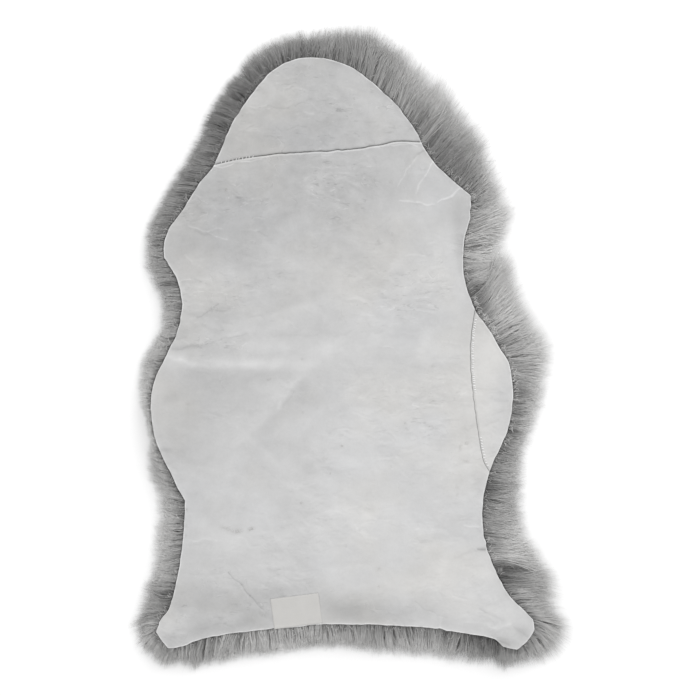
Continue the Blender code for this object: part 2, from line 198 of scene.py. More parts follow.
# Finer unevenness that the solids leave out, in the same columns.
RIPPLES = (
    (71.0, 83.0, 0.7, 0.22),
    (58.0, 31.0, 2.9, 0.18),
    (47.0, 140.0, 4.4, 0.16),
    (36.0, 100.0, 1.9, 0.11),
    (29.0, 8.0, 3.3, 0.09),
    (23.0, 65.0, 5.6, 0.07),
)

# How the seams' painted shade lines and painted lip highlights come and go, in the same columns.
SEAM_PATCHES = ((61.0, 10.0, 0.3, 0.35), (27.0, -20.0, 2.0, 0.35), (11.0, 35.0, 4.1, 0.3))

# Main folds. x from, y from, x to, y to, half width, height
FOLDS = (
    (-272, -6, -112, -14, 17, 1.7),  # flank ridge
    (-268, 16, -190, 24, 16, -1.3),  # flank trough
    (-72, -34, -130, -118, 18, 1.5),  # belly ridge
    (-246, 74, -165, 69, 15, 1.4),  # waist ridge
    (-248, 96, -168, 108, 16, -1.2),  # waist trough
    (-236, 188, -178, 178, 15, 1.3),  # neck arc
    (-180, -330, -123, -390, 13, -1.5),  # foot crease
    (168, 249, 134, 221, 14, 2.0),  # shoulder pinch
    (128, 282, 108, 236, 13, 1.7),  # collar pinch
    (116, 303, 92, 294, 12, 1.5),  # nape pucker
    (161, 217, 158, 116, 13, -2.6),  # arm strip
    (226, -418, 206, -408, 14, -1.8),  # foot tuck
)

# How far creases wander from straight, across and along the skin, in the columns of the swells.
STRAY_X = ((57.0, 100.0, 0.9, 1.6), (31.0, 40.0, 2.2, 1.0), (17.0, 80.0, 4.0, 0.5))
STRAY_Y = ((49.0, 5.0, 3.1, 1.6), (27.0, 150.0, 0.4, 0.9), (15.0, 20.0, 5.2, 0.5))

# Fine creases laid over the folds: thin ridges, and troughs where the height is negative.
# x from, y from, x to, y to, half width, height
CREASES = (
    # neck
    (-237, 190, -212, 180, 2.2, 0.8), (-212, 180, -190, 184, 2.4, 0.85),
    (-211, 177, -199, 171, 2.2, 0.5), (-199, 171, -181, 170, 2.2, 0.6),
    (-230, 182, -208, 174, 2.4, -0.4), (-162, 182, -138, 182, 2.2, 0.5),
    (-138, 181, -122, 176, 2.2, -0.5),
    # arm
    (-243, 143, -232, 137, 2.2, 0.35),
    # waist
    (-255, 106, -240, 107, 2.0, 0.8), (-229, 52, -212, 61, 2.0, -0.6), (-212, 61, -194, 71, 2.0, -0.7),
    (-187, 42, -172, 42, 2.0, -0.45), (-150, 50, -127, 55, 2.8, -0.45), (-219, 12, -190, 18, 2.6, -0.5),
    (-190, 18, -150, 28, 2.2, -0.6), (-264, 5, -222, 8, 3.4, -0.9), (-258, 20, -242, 22, 2.2, -0.5),
    (-114, 25, -5, 26, 3.4, -0.35),
    # nape
    (114, 303, 105, 300, 2.2, -0.9), (105, 300, 97, 292, 2.4, -0.7),
    # collar
    (103, 297, 91, 278, 2.4, 0.75), (91, 278, 76, 249, 2.2, 0.7), (127, 286, 116, 266, 2.0, 1.0),
    (116, 266, 101, 239, 2.2, 0.8),
    # shoulder
    (166, 248, 153, 234, 2.0, 1.15), (153, 234, 134, 223, 2.0, 1.1), (128, 222, 102, 224, 1.9, 0.75),
    (102, 224, 75, 226, 1.9, 0.65), (66, 203, 48, 184, 3.4, -0.3),
    # seam
    (-201, 277, -150, 286, 1.5, 0.9), (-150, 286, -128, 291, 1.5, 0.5), (62, 310, 106, 311, 1.5, 0.7),
    # back
    (-67, 255, -34, 278, 3.0, 0.45), (-27, 203, -12, 201, 2.0, 0.4), (-32, 186, 1, 188, 2.2, 0.3),
    (-54, 174, -40, 177, 2.0, 0.35), (-18, 262, -16, 222, 4.5, 0.3),
    # breast
    (88, 143, 123, 146, 2.2, 0.5), (123, 144, 128, 148, 2.0, -0.5), (73, 118, 88, 110, 2.0, -0.4),
    (110, 105, 151, 106, 1.8, -0.5), (118, 89, 138, 92, 1.8, -0.4), (53, 78, 76, 80, 2.0, -0.4),
    # ripple
    (103, 80, 124, 82, 1.6, 0.4), (105, 75, 126, 76, 1.6, -0.4), (103, 70, 122, 71, 1.6, 0.4),
    (106, 65, 127, 65, 1.6, -0.35), (104, 60, 120, 61, 1.6, 0.35), (100, 85, 120, 88, 1.6, -0.35),
    # side
    (50, 8, 70, 6, 2.0, 0.4), (38, 30, 53, 29, 2.2, -0.35), (83, 30, 102, 26, 2.0, 0.4),
    (143, 16, 168, 9, 2.0, 0.35), (58, -42, 75, -25, 4.0, 0.35), (113, -128, 130, -125, 2.0, -0.35),
    # flank
    (-272, -7, -254, -10, 6.0, 0.7), (-254, -10, -232, -21, 6.0, 0.7), (-228, -20, -104, -20, 8.0, 0.6),
    (-154, -42, -92, -23, 9.0, -0.8),
    # belly
    (-74, -40, -104, -82, 6.0, 0.7), (-104, -82, -164, -139, 6.5, 0.6), (-79, -62, -97, -82, 2.4, -0.4),
    (-129, -174, -109, -187, 3.0, -0.35),
    # foot
    (-180, -330, -160, -352, 1.8, -0.9), (-160, -352, -145, -367, 1.8, -1.0),
    (-145, -367, -130, -384, 1.8, -0.8), (-130, -384, -120, -394, 3.0, -0.5),
    (-178, -334, -148, -368, 2.6, 0.3),
    # leg
    (-239, -282, -197, -283, 2.4, 0.5), (-239, -288, -205, -289, 2.8, -0.4),
    (-237, -332, -225, -332, 1.8, -0.35),
    # heel
    (-277, -418, -246, -424, 3.2, 0.45),
    # hem
    (-222, -414, -196, -412, 2.6, -0.3), (-204, -398, -190, -402, 2.4, -0.45),
    (-186, -408, -176, -410, 2.4, -0.4), (103, -377, 128, -390, 1.8, -0.4),
    (128, -390, 146, -402, 1.8, -0.4), (138, -398, 139, -416, 2.4, 0.5),
    # toe
    (176, -406, 196, -408, 2.0, 0.4), (198, -387, 233, -402, 3.2, -0.75),
    (213, -413, 246, -411, 4.0, 0.8), (248, -411, 270, -428, 5.0, -0.9),
    (219, -429, 242, -441, 4.0, -1.1),
    # loin
    (176, -262, 197, -264, 2.0, 0.5), (196, -296, 211, -297, 2.4, -1.1),
    (162, -307, 196, -299, 4.0, -0.45),
    # patch
    (224, -104, 206, -110, 3.6, -0.7), (232, -88, 214, -96, 3.6, -0.65),
    (238, -72, 222, -74, 3.2, -0.55), (238, -52, 222, -60, 3.2, 0.3),
    # crown
    (-99, 411, -77, 414, 2.2, 0.4), (-95, 398, -84, 402, 1.8, 0.5), (-92, 395, -82, 399, 1.8, -0.4),
    (-82, 397, -61, 391, 2.2, 0.35), (-79, 370, -57, 380, 2.0, -0.55), (-67, 376, -37, 363, 2.2, 0.45),
    (-82, 357, -52, 358, 2.4, 0.45), (-47, 380, -32, 383, 2.0, 0.4), (-32, 383, -17, 376, 2.0, 0.4),
    (4, 368, 20, 366, 2.6, 0.4), (-122, 367, -90, 367, 2.0, -0.5), (-147, 370, -124, 369, 2.2, 0.4),
    (-162, 333, -132, 333, 2.2, 0.4), (-82, 338, -62, 337, 2.2, -0.4), (-108, 336, -96, 330, 2.0, -0.3),
)


# Where the skin's tone differs from its mean: its own uneven tone, and painted light and shade on the folds
# and around the label. x, y, half length, half width, heading, share
TONE_AND_LIGHT_PATCHES = (
    # head
    (-84, 392, 46, 22, 5, 0.03), (-120, 322, 66, 30, 5, -0.06), (-60, 355, 60, 34, 0, -0.025),
    (-72, 421, 46, 20, 5, -0.11), (45, 360, 34, 22, -45, 0.04), (-140, 350, 26, 60, -25, 0.02),
    # whole skin
    (-60, 330, 330, 200, 10, -0.135), (-230, 110, 120, 260, 5, -0.055), (60, -235, 330, 140, 5, 0.075),
    # shoulder
    (-205, 192, 70, 62, 20, -0.085), (120, 190, 60, 90, 0, 0.045), (171, 205, 15, 22, 0, -0.11),
    (167, 165, 8, 40, 4, -0.09),
    # back
    (-90, 215, 100, 75, 0, -0.045), (140, 90, 50, 110, 0, 0.02), (-30, 240, 30, 44, 0, -0.035),
    (36, 204, 100, 70, 0, -0.05),
    # hem
    (-120, -372, 150, 30, -3, -0.06), (140, -368, 90, 40, -10, 0.085), (70, -390, 60, 22, 2, -0.13),
    (142, -408, 10, 8, 0, -0.04),
    # waist
    (-222, 106, 44, 8, 24, 0.07), (-205, 60, 50, 10, 22, -0.07), (-215, 40, 40, 7, 14, -0.035),
    (-150, 46, 80, 7, 12, 0.05), (-180, 26, 60, 5, 9, 0.045), (-112, 62, 56, 6, 24, -0.045),
    (-248, 7, 30, 4, 2, -0.09),
    # flank
    (-150, -18, 100, 8.5, 0, 0.18), (-252, -12, 26, 6.5, -22, 0.085), (-120, 6, 60, 10, 8, 0.04),
    (-116, -38, 64, 9, 8, -0.065), (-236, -36, 34, 9, 20, -0.03), (-272, -147, 10, 4, 0, -0.12),
    # middle
    (-42, 4, 56, 14, -6, 0.04), (20, 56, 34, 7, 16, 0.03), (44, 20, 80, 24, 6, 0.045),
    (-34, -165, 26, 20, 0, -0.035), (-36, 6, 20, 18, 0, 0.05), (-72, -172, 24, 16, 0, -0.06),
    # hip
    (-235, -90, 90, 50, 70, -0.075), (-268, -66, 16, 10, 0, -0.08), (-252, -150, 26, 24, 40, -0.075),
    # belly
    (-69, -47, 10, 8, 30, -0.08), (-98, -62, 90, 9, 46, 0.065), (-88, -80, 44, 11, 47, -0.075),
    (-104, -148, 52, 24, 25, -0.06), (-122, -154, 44, 5, -42, 0.04), (-178, -112, 36, 10, 50, 0.03),
    (-55, -68, 34, 16, 40, -0.06), (60, -150, 60, 26, 0, 0.01),
    # loin
    (-205, -233, 48, 20, -8, -0.085), (-152, -205, 28, 8, -10, -0.035), (186, -246, 18, 10, 0, -0.08),
    # leg
    (-200, -286, 50, 10, 0, 0.03), (203, -297, 8, 3, 0, -0.20), (180, -302, 22, 7, 10, -0.04),
    (205, -330, 14, 12, 0, 0.03),
    # side
    (212, -30, 30, 92, -6, 0.03), (236, -80, 16, 34, 10, -0.07), (197, -196, 10, 22, -10, -0.11),
    (90, 6, 36, 18, 0, 0.05),
    # foot
    (-190, -378, 72, 34, -10, -0.15), (-140, -402, 34, 12, 6, -0.07), (-268, -402, 14, 22, -20, 0.03),
    (-262, -434, 26, 9, 0, -0.10), (262, -420, 13, 8, -35, -0.13), (232, -435, 13, 8, -20, -0.16),
    (226, -411, 20, 5, 0, 0.03), (-200, -418, 50, 12, 4, -0.12), (-254, -388, 18, 22, 0, -0.07),
    # label
    (-82, -356, 40, 9, 8, -0.06), (0, -388, 46, 24, 2, -0.17),
    # neck
    (92, 282, 14, 10, 60, -0.05), (108, 306, 26, 4, 0, 0.07), (-170, 280, 34, 5, 5, 0.05),
)

# Where small curled marks are pressed into the skin, with painted light and shade on their sides. x, y, half
# length, half width, heading, share
MARKS_LEAST = 0.35
MARKS = (
    (-20, 365, 130, 60, 0, 1.5),  # head
    (-90, 225, 170, 70, 0, 1.0),  # neck
    (-150, 50, 100, 60, 10, 0.9),  # waist left
    (110, 90, 60, 60, 0, 0.9),  # breast
    (110, -80, 70, 60, 0, 0.5),  # side
    (-180, -380, 90, 40, 0, 1.1),  # foot left
    (40, -385, 120, 26, 0, 0.5),  # hem
)

# Stains and small marks. x, y, half length, half width, heading, strength
STAINS = (
    # neck spot
    (-183.5, 243, 1.9, 1.7, 0, 0.95),
    # the two larger stains
    (-182, -265, 9, 3.0, -18, 0.34), (-166, -269, 8, 3.2, 8, 0.38), (-145.5, -265.5, 4.6, 2.2, 18, 0.6),
    (178, -137, 2.6, 2.2, 0, 0.6), (169, -143, 1.8, 6, -15, 0.34), (177, -164, 6, 1.6, -15, 0.35),
    # dots
    (-9.5, -140.7, 1.7, 1.5, 0, 0.7), (-69.5, -10, 1.6, 1.4, 0, 0.5), (-69.5, -226, 1.7, 1.5, 0, 0.5),
    (-27, -182, 1.5, 1.3, 0, 0.4), (68, 339, 1.4, 1.4, 0, 0.5), (9, 381, 1.4, 1.3, 0, 0.5),
    (46, 166, 1.8, 2.4, 0, 0.42), (39, 257, 3.2, 4.0, 0, 0.22), (64, 255, 2.4, 2.8, 0, 0.25),
    (-107, 313, 3.0, 3.6, 0, 0.2), (128, -21, 3.6, 2.0, 0, 0.3), (86, -107, 1.5, 1.6, 0, 0.4),
    (88, -116, 2.4, 1.2, -20, 0.45), (121, -111, 1.8, 1.4, 10, 0.45), (-34, -160, 6, 3.4, 0, 0.16),
    (-27, 345, 5, 2.6, 30, 0.14), (-159.5, 355.5, 1.4, 1.2, 0, 0.4), (164, -203, 1.5, 1.8, 0, 0.35),
    (164, -214, 1.5, 1.8, 0, 0.35), (-3, -290, 1.6, 1.5, 0, 0.35), (46, -326, 2.8, 2.4, 0, 0.25),
    (46, -352, 2.2, 2.6, 0, 0.3), (-117, -41, 5, 1.6, 15, 0.35), (-69, -90, 2.0, 3.0, 20, 0.22),
    (-241, -78, 3.0, 3.0, 0, 0.18),
    # edge
    (-243, -237, 1.8, 3.0, 0, 0.5), (-243, -262, 1.6, 2.4, 0, 0.4), (-244, -276, 1.6, 2.4, 0, 0.35),
    (-129, -394, 8, 3.0, -30, 0.25),
)

# Stretches of the edge that are rolled up more than the rest. x, y, half length, lift
LIPS = (
    (180, -423, 26, 2.2),  # hem right lip
    (6, -409, 46, 0.9),  # hem label lip
    (-150, -420, 40, 0.4),  # hem left lip
    (178, 182, 26, 1.5),  # arm lip
    (176, 242, 12, 0.6),  # shoulder lip
    (272, -428, 14, 0.6),  # toe lip
    (-262, 18, 18, -0.8),  # waist lip
    (238, -443, 9, -1.2),  # toe inner
)

# Stretches of the edge whose painted highlight is stronger or weaker. x, y, half length, share
EDGE_HIGHLIGHTS = (
    (-252, 80, 70, 0.35),  # waist left
    (-240, 225, 40, 0.15),  # shoulder left
    (-120, 415, 40, 0.20),  # brow left
    (150, 265, 60, -0.35),  # neck right
    (80, 370, 50, -0.25),  # temple right
    (-292, -110, 70, -0.20),  # flank left
    (235, 10, 60, 0.20),  # side panel
    (207, -230, 60, -0.20),  # loin right
    (240, -365, 30, -0.25),  # ankle right
    (10, -410, 120, 0.28),  # hem
    (-246, -260, 50, 0.10),  # leg left
)
HEM_DOTTED = ((30, -409, 80, 0.45),)  # where that painted highlight is broken into dots, in the same columns

# Small steps in the cut edge. x, y, half length, how far out
NICKS = (
    (184, 236, 5, 1.2),  # shoulder tip
    (185, 212, 4, -1.3),  # arm step
    (183, 200, 3, 0.8),  # arm edge
    (207, -286, 4, 1.2),  # leg step
    (214, -299, 4, -1.0),  # leg step in
    (138, -417, 4, -1.3),  # hem step
    (149, -419, 4, 1.5),  # hem step out
    (168, -423, 14, 0.8),  # hem fold
    (-286, -410, 4, -0.9),  # heel left
    (-288, -419, 4, 0.9),  # heel left out
    (-277, 143, 5, 0.9),  # arm left
    (-246, -224, 6, -1.0),  # loin left
    (109, 316, 4, 1.0),  # nape
    (-80, -411, 22, 2.2),  # under label
)

# Stations where the cut turns a corner instead of a curve.
CORNERS = (
    "foot_left_tip", "foot_left_toe", "foot_left_heel", "foot_left_inner", "foot_right_heel",
    "foot_right_side", "foot_right_tip", "foot_right_toe", "foot_right_inner", "foot_right_notch",
    "arm_left_low", "loin_left", "shoulder_right_tip", "head_seam_right", "side_seam_top",
    "side_seam_bottom", "waist_left", "head_seam_left", "foot_right_outer",
)

ROOT_SHADE = (0.74, 0.95)  # painted shade deeper in the fleece: share of the stations' wool tones that shows at the root and near the tips

# Places where the locks part, the darker roots show and painted shade fills the gap. x, y, half width along
# the edge, turn of the locks
PARTINGS = (
    (114, 306, 8, 0.35),  # nape
    (182, 86, 10, 0.40),  # flank top
    (220, -326, 10, 0.50),  # shank right
    (206, -206, 7, 0.25),  # loin right
    (-250, 68, 5, 0.3),  # waist left
    (-258, 99, 5, 0.3),  # rib left
    (-262, -365, 7, 0.35),  # ankle left
    (-282, -395, 7, 0.3),  # heel left
    (-205, -428, 6, 0.2),  # hem a
    (-160, -421, 5, 0.2),  # hem b
    (88, -412, 7, 0.2),  # hem c
    (150, -418, 7, 0.3),  # hem d
    (-120, -416, 5, 0.10),  # hem e
    (220, -430, 7, 0.3),  # hem f
    (-180, 330, 5, 0.25),  # cheek left
    (-150, 380, 5, 0.25),  # temple left
    (-196, 292, 5, 0.2),  # neck left
    (184, 215, 5, 0.25),  # arm right
    (174, 158, 5, 0.2),  # chest right
    (248, -60, 6, 0.25),  # flank right
    (240, -116, 5, 0.2),  # flank right low
)

WEDGE_SHADE = 1.15  # how dark the painted shade in a parting is, for each radian of its locks' turn
WEDGE_MOST = 0.5  # radians past which it gets no darker
WEDGE_HALF = 0.9  # where that shade ends, as a share of the parting's half width
WEDGE_TIP = 0.4  # how much of that shade reaches the tips

CONTACT_REACH = 3.0  # how far out from the skin the wool is in its shadow

# Layers of locks, from the top of the rim to the floor.
# shift in locks, root's place out from the edge, root's and run's share of the height, longest, strands in a
# lock, segments of a strand
LAYERS = (
    (0.0, -3.0, 0.94, 1.00, 0.98, 29, 4),  # crest
    (0.37, -4.0, 0.82, 0.80, 1.02, 23, 4),  # upper
    (0.74, -5.0, 0.60, 0.56, 1.03, 17, 4),  # middle
    (0.2, -5.0, 0.36, 0.32, 1.02, 12, 3),  # lower
    (0.55, -5.0, 0.14, 0.10, 0.98, 8, 3),  # floor
)
LOCKS = 360  # in a layer, all round

# How the locks differ from each other.
LOCK_PLACE = 0.3  # how far a lock may stand from its even place, in locks
LOCK_WIDTHS = (1.0, 1.9)  # in locks
LOCK_TURN = 0.06
LOCK_LENGTH = (0.012, 0.05)  # spread of the lengths on a soft rim, and how much more of it in tufts
LOCK_LIFT = 0.045
LOCK_LIFT_SOFT = 0.35  # share of that on a soft rim
LOCK_PULL = (0.25, 0.8)  # how far a lock draws together towards its tip
LOCK_BOW = 1.2
TUFTED = (13.0, 6.0)  # softness at which the rim starts to be tufted, and range over which it becomes so

# How the rim's own shape varies along it: spread of each unevenness, and its width in edge points.
RIM_LEAN = ((0.08, 12.0), (0.05, 4.0))
RIM_REACH = (0.03, 15.0)
RIM_BOW = (1.8, 5.0)

# How the wool falls from the skin's edge to the floor, over the run of the locks.
RUN_START, RUN_FALL, RUN_POWER = 0.95, 0.82, 2.1
RUN_PAST = 1.25
RUN_LIMITS = (0.03, 1.0)

# How the strands of a lock differ.
STRAND_RADIUS = 0.42
STRAND_THICK = (0.7, 1.25)  # in those radii
STRAND_ROOT = (-2.0, 2.5)  # further in or out than the layer's root
STRAND_SHORT = (0.30, 0.12)  # how much shorter a strand may be, and how much less so in a tuft
STRAND_SHORTS = (1.0, 1.7)  # shape of the spread of that, in which most are long
STRAND_BACK = 0.2  # how far back from the reach they end as well, in softnesses
STRAND_BEND = (0.150, 0.10)  # spread of the bends on a soft rim, and how much less in tufts
STRAND_CRIMP = (0.2, 0.8)
CRIMP_TURNS = (9.0, 8.0)  # radians of crimp along a strand, sideways and in height
CRIMP_TALL = 0.6  # how high it is, as a share of its width
CRIMP_START = 3.0  # it is full from one part in this many of the strand
STRAND_SLACK = 0.9
STRAND_LIFT = 0.07  # how far its height varies beside its lock's
STRAND_LOW = (0.7, 0.25)  # least height at the tip, and how much more at the root
STRAND_HIGH = 1.02  # most height, as a share of the rim's
STRAND_RISE = 2.2  # it is at the run's height from one part in this many
DRAW_POWER = 1.3
STRAY_SHARE, STRAY_BEND = 0.04, 0.16
SOFT_SHARE = 0.40  # strands of a lock that run on into its soft tip
SOFT_RUN = (-0.7, 1.0)  # where those end, in softnesses past the reach
SOFT_THICK = 0.68
REACH_V, PAST_V = 0.8, 0.2  # how much of v the lock's reach takes up, and what is past it
PARTING_WIDE = 9.0  # how far the locks stand aside at a parting
PARTING_LOW = 0.25  # share of that in the lowest layer
PARTING_DEPTH = 0.3  # how much lower the wool is in it
PARTING_HALF = 0.45  # width of that hollow, as a share of the parting's half width
NORMAL_UP = 2.8  # how far a strand's shading follows the lie of the fleece, as against its own round
BEYOND = 24.0  # how far past the solids a strand may end
LEAST_HEIGHT = 0.15  # of any strand over the floor
STRAND_TURNS = (0.5, 2.594, 4.689)  # radians at which a strand's three sides meet
STRAND_U = (-0.05, 0.0, 0.05)  # their places across a lock
UV_LIMITS = (0.0005, 0.9995)

# Short fibres that curl out from under the cut edge.
FUZZ_COUNT = 2000
FUZZ_LONG = (3.5, 10.0)
FUZZ_THICK = (0.20, 0.36)
FUZZ_ROOT = (0.6, 5.5, 1.5)  # how far out they start: least, range, and power that brings most of them in
FUZZ_TURN, FUZZ_CURL = 0.7, 1.8
FUZZ_REACH = 30.0  # reach of the rim's wool below which they are shorter than that
FUZZ_LIFT = (0.2, 2.2)
FUZZ_TONE_V = (0.40, 0.66)  # how far out along the wool's tones theirs are taken
FUZZ_RINGS = 5
FUZZ_LEAST = 0.03  # share of them that stands up anywhere

# Where more of them do. x, y, half length, half width, heading, share
FUZZ_PLACES = (
    (-146, 386, 70, 30, 55, 0.30),  # temple left
    (-190, 310, 60, 25, 60, 0.16),  # cheek left
    (-236, 236, 60, 25, 50, 0.22),  # shoulder left
    (-275, 150, 30, 20, 90, 0.12),  # arm left
    (140, 268, 80, 25, -45, 0.22),  # neck right
    (178, 180, 70, 20, 90, 0.10),  # arm right
    (205, 50, 50, 20, -50, 0.26),  # panel top
    (246, -40, 70, 20, 90, 0.24),  # panel side
    (224, -140, 50, 20, 60, 0.20),  # panel low
    (204, -240, 60, 20, 90, 0.04),  # leg right
    (-40, -411, 220, 16, 0, 0.05),  # hem
    (-270, -400, 40, 20, 60, 0.08),  # foot left
)


# Looks of the skin, the seams and the label.
SKIN_MEAN = 0.515
LABEL_TONE = 0.53
CREASE_LIGHT_AND_SHADE = 0.18  # how much lighter a raised crease is painted, partly as wear and partly as painted highlight; troughs get painted shade
CREASE_NARROW = 0.55  # width of that painted line, as a share of the crease's own
CREASE_LIMITS = (-1.1, 1.2)
CREASE_USUAL = 2.2  # half width at which a crease's painted line is as strong as the crease is high
CREASE_FADE = 0.9  # power by which wider creases are painted less
RIPPLE_FADE = 8.0  # distance from the edge over which the ripples start
RIM_HIGHLIGHT = 0.75  # painted highlight along the rolled cut edge: how far it takes the edge towards its pale tone
RIM_HIGHLIGHT_TONE = 0.88
RIM_HIGHLIGHT_WIDE = 1.0
WALL_HIGHLIGHT = 0.8  # share of that on its side
RIM_THIN = 0.8  # thickness of the cut edge, as a share of the skin's
STAIN_COLOUR = (0.13, 0.12, 0.10, 1)
CORNER_SHARE = 0.8  # how straight the edge runs up to a corner
MOST_LEAN = 0.75  # radians that the locks may lean from straight out

# How the skin's tone varies, as shares of its mean.
BROAD_TONE = 0.042
CLOUD_TONE = 0.050
MOTTLE_TONE = 0.029
GRAIN_TONE = 0.016
NAP_TONE = 0.012
# painted light and shade on the two sides of the curled marks:
MARK_LIGHT_AND_SHADE = 0.085
FLECK_TONES = (-0.085, 0.065)
# painted light and shade of the wrinkles, coarse and fine:
WRINKLE_SHADING = 0.50
FINE_WRINKLE_SHADING = 0.26
RELIEF_STRETCH = (0.85, 1.15, 1.0)
RELIEF_STEP = (-0.0006, -0.0017, 0.0)  # metres towards the light

# The cut edge: its small steps, how far it is rolled up and how strong its painted highlight is.
OUT_EVEN = 40.0  # length of edge over which the wool's outward direction is evened
NEAR_EVEN = 7.0  # the same for the steps of the cut
WANDER, WANDER_WIDE = 0.28, 2.2
CURL_MEAN, CURL_SPREAD, CURL_WIDE = 0.75, 0.5, 5.0
CURL_LIMITS = (-0.8, 3.2)
LIP_WIDE = 2.4
HOLLOW_DEEP, HOLLOW_AT, HOLLOW_WIDE = 0.35, 6.5, 3.5  # the shallow hollow behind the rolled edge
HIGHLIGHT_LEAST, HIGHLIGHT_BY_CURL, HIGHLIGHT_SPREAD, HIGHLIGHT_SPREAD_WIDE = 0.35, 0.35, 0.30, 0.8
HIGHLIGHT_LIMITS = (0.1, 0.8)
DOT_WIDE = 1.0

# The seams, by distance from the stitched line.
SEAM_WANDER, SEAM_WANDER_WIDE = 0.35, 1.6
SEAM_SWELL_WIDE = 5.5
GROOVE_WIDE = 1.5
SEAM_SHADE_WIDE = 0.85
SEAM_HIGHLIGHT_AT, SEAM_HIGHLIGHT_WIDE = 1.9, 0.9
PATCHY, SEAM_HIGHLIGHT_PATCHY = 0.45, 0.3  # how far the painted shade line and the lips' painted light come and go
# seam: depth of the groove, swell beside it, the painted shade of its dark line, the painted light on the lit
# panel's lip and on the other's, and which panel is lit
SEAM_LOOK = {
    "head": (1.2, 0.8, -0.40, 0.36, -0.03, "body"),
    "side": (0.5, 0.4, -0.17, -0.09, 0.02, "patch"),
}

# Rows of stitches. name: seam, share from, share to, spacing, reach from, reach to, thread radius, slant
STITCHES = {
    "side_stitches": ("side", 0.06, 0.50, 3.3, 1.2, 5.2, 0.55, 0.7),
    "side_stitches_low": ("side", 0.78, 0.97, 4.4, 0.8, 4.6, 0.5, 1.6),
    "head_stitches": ("head", 0.04, 0.20, 5.2, -1.4, 1.8, 0.4, 1.6),
}
STITCH_POINTS = 7
STITCH_PLACE = 0.12  # how uneven the stitches' places are, in spacings
STITCH_SLANT = 0.3  # their slants, as a share
STITCH_WIDE = 0.25  # and their reach
STITCH_TAUT = 0.6  # how far they stay straight over a hollow
STITCH_RISE, STITCH_SINK = 1.2, 2.0  # radii they run over the skin, and radii their ends go down from there
THREAD_SIDES = 6
THREAD_TAPER = 0.35  # radius of its ends, as a share

# The rings of the wool's mass, from under the skin down to the floor.
# distance out, or share of the reach where scaled, share of the height, scaled
MASS = (
    (-16.0, 1.0, False),  # under the skin
    (-1.5, 1.0, False),  # under its edge
    (0.12, 0.84, True),
    (0.30, 0.66, True),
    (0.44, 0.44, True),
    (0.48, 0.22, True),
    (0.42, 0.07, True),
    (0.34, 0.0, True),  # on the floor
)
MASS_SINK = 2.2  # how far under the skin its top is
MASS_LUMPS = (0.08, 2.5)  # spread and width, as for the rim
MASS_SHADE = 0.7  # painted shade: the mass behind the locks is this share of their own tone
# painted shade of the mass under the skin and under its edge
HIDDEN_SHADE = 0.10
BENEATH_TONE = 0.36
BENEATH_GRID = 5.0

# Lumps of the wool's underside.
LUMP_STEP = (13.0, 30.0)
LUMP_LOW, LUMP_DEEP = 0.5, 2.6
LUMP_HASH = (((12.9898, 78.233), 43758.5453), ((39.346, 11.135), 24634.6345))  # makes two numbers of a place

# Arcs of the rim that carry a piece of wool each.
# name: from station, to station, how far out the painted shade between its locks reaches, how much its locks
# differ near the tips
ARCS = {
    "wool_crown": ("head_seam_left", "head_seam_right", 0.52, 0.22),
    "wool_right": ("head_seam_right", "side_seam_bottom", 0.30, 0.05),
    "wool_foot_right": ("side_seam_bottom", "hem_middle", 0.36, 0.07),
    "wool_foot_left": ("hem_middle", "loin_left", 0.37, 0.09),
    "wool_left": ("loin_left", "head_seam_left", 0.50, 0.22),
}
TIP_LIFT = 1.3  # how much paler the very tips are than the outer fibres

# The room. name: place, size, power
LIGHTS = {"key": ((1.4, 1.7, 1.9), 1.6, 24), "fill": ((-1.6, -0.6, 2.4), 2.2, 10)}
WORLD_LIGHT = 0.93
FLOOR_HALF = 6.0
CAMERA_HEIGHT = 3.2
SENSOR = 36.0
VIEW_WIDTH = 1.044  # metres across the picture at the skin's height
VIEW_CENTRE = (0.0, 6.0)


# ---------------------------------------------------------------- helpers


def catmull_rom(p0, p1, p2, p3, count):
    """Points from p1 towards p2, p2 left out, on the centripetal curve through the four."""
    knots = [0.0]
    for a, b in ((p0, p1), (p1, p2), (p2, p3)):
        knots.append(knots[-1] + math.sqrt(max(np.linalg.norm(b - a), 1e-6)))
    t = np.linspace(knots[1], knots[2], count, endpoint=False)[:, None]

    def mix(a, b, ta, tb):
        return ((tb - t) * a + (t - ta) * b) / (tb - ta)

    a1, a2, a3 = mix(p0, p1, *knots[0:2]), mix(p1, p2, *knots[1:3]), mix(p2, p3, *knots[2:4])
    b1, b2 = mix(a1, a2, knots[0], knots[2]), mix(a2, a3, knots[1], knots[3])
    return mix(b1, b2, knots[1], knots[2])


def edge_points():
    """Points round the edge, and the index at which each station falls."""
    names = list(STATIONS)
    places = np.array([STATIONS[name][:2] for name in names], float)
    sharp = [CORNER_SHARE if name in CORNERS else 0.0 for name in names]
    points, index = [], {}
    for i, name in enumerate(names):
        ring = [places[(i + k) % len(names)] for k in (-1, 0, 1, 2)]
        count = max(1, round(np.linalg.norm(ring[2] - ring[1]) / EDGE_STEP))
        index[name] = len(points)
        share = (np.arange(count) / count)[:, None]
        straight = ring[1] * (1 - share) + ring[2] * share
        keep = sharp[i] * (1 - share) + sharp[(i + 1) % len(names)] * share
        points.extend(catmull_rom(*ring, count) * (1 - keep) + straight * keep)
    return np.array(points), index


def seam_points(rows):
    """Points along a seam, without its ends."""
    places = np.array(rows, float)
    ends = np.vstack([2 * places[0] - places[1], places, 2 * places[-1] - places[-2]])
    points = []
    for i in range(len(places) - 1):
        count = max(1, round(np.linalg.norm(places[i + 1] - places[i]) / EDGE_STEP))
        points.extend(catmull_rom(*ends[i : i + 4], count))
    return np.array(points[1:])


def unit_normals(line):
    """Directions to the left of an open line, at each of its points."""
    along = np.gradient(line, axis=0)
    return np.column_stack([-along[:, 1], along[:, 0]]) / np.linalg.norm(along, axis=1)[:, None]


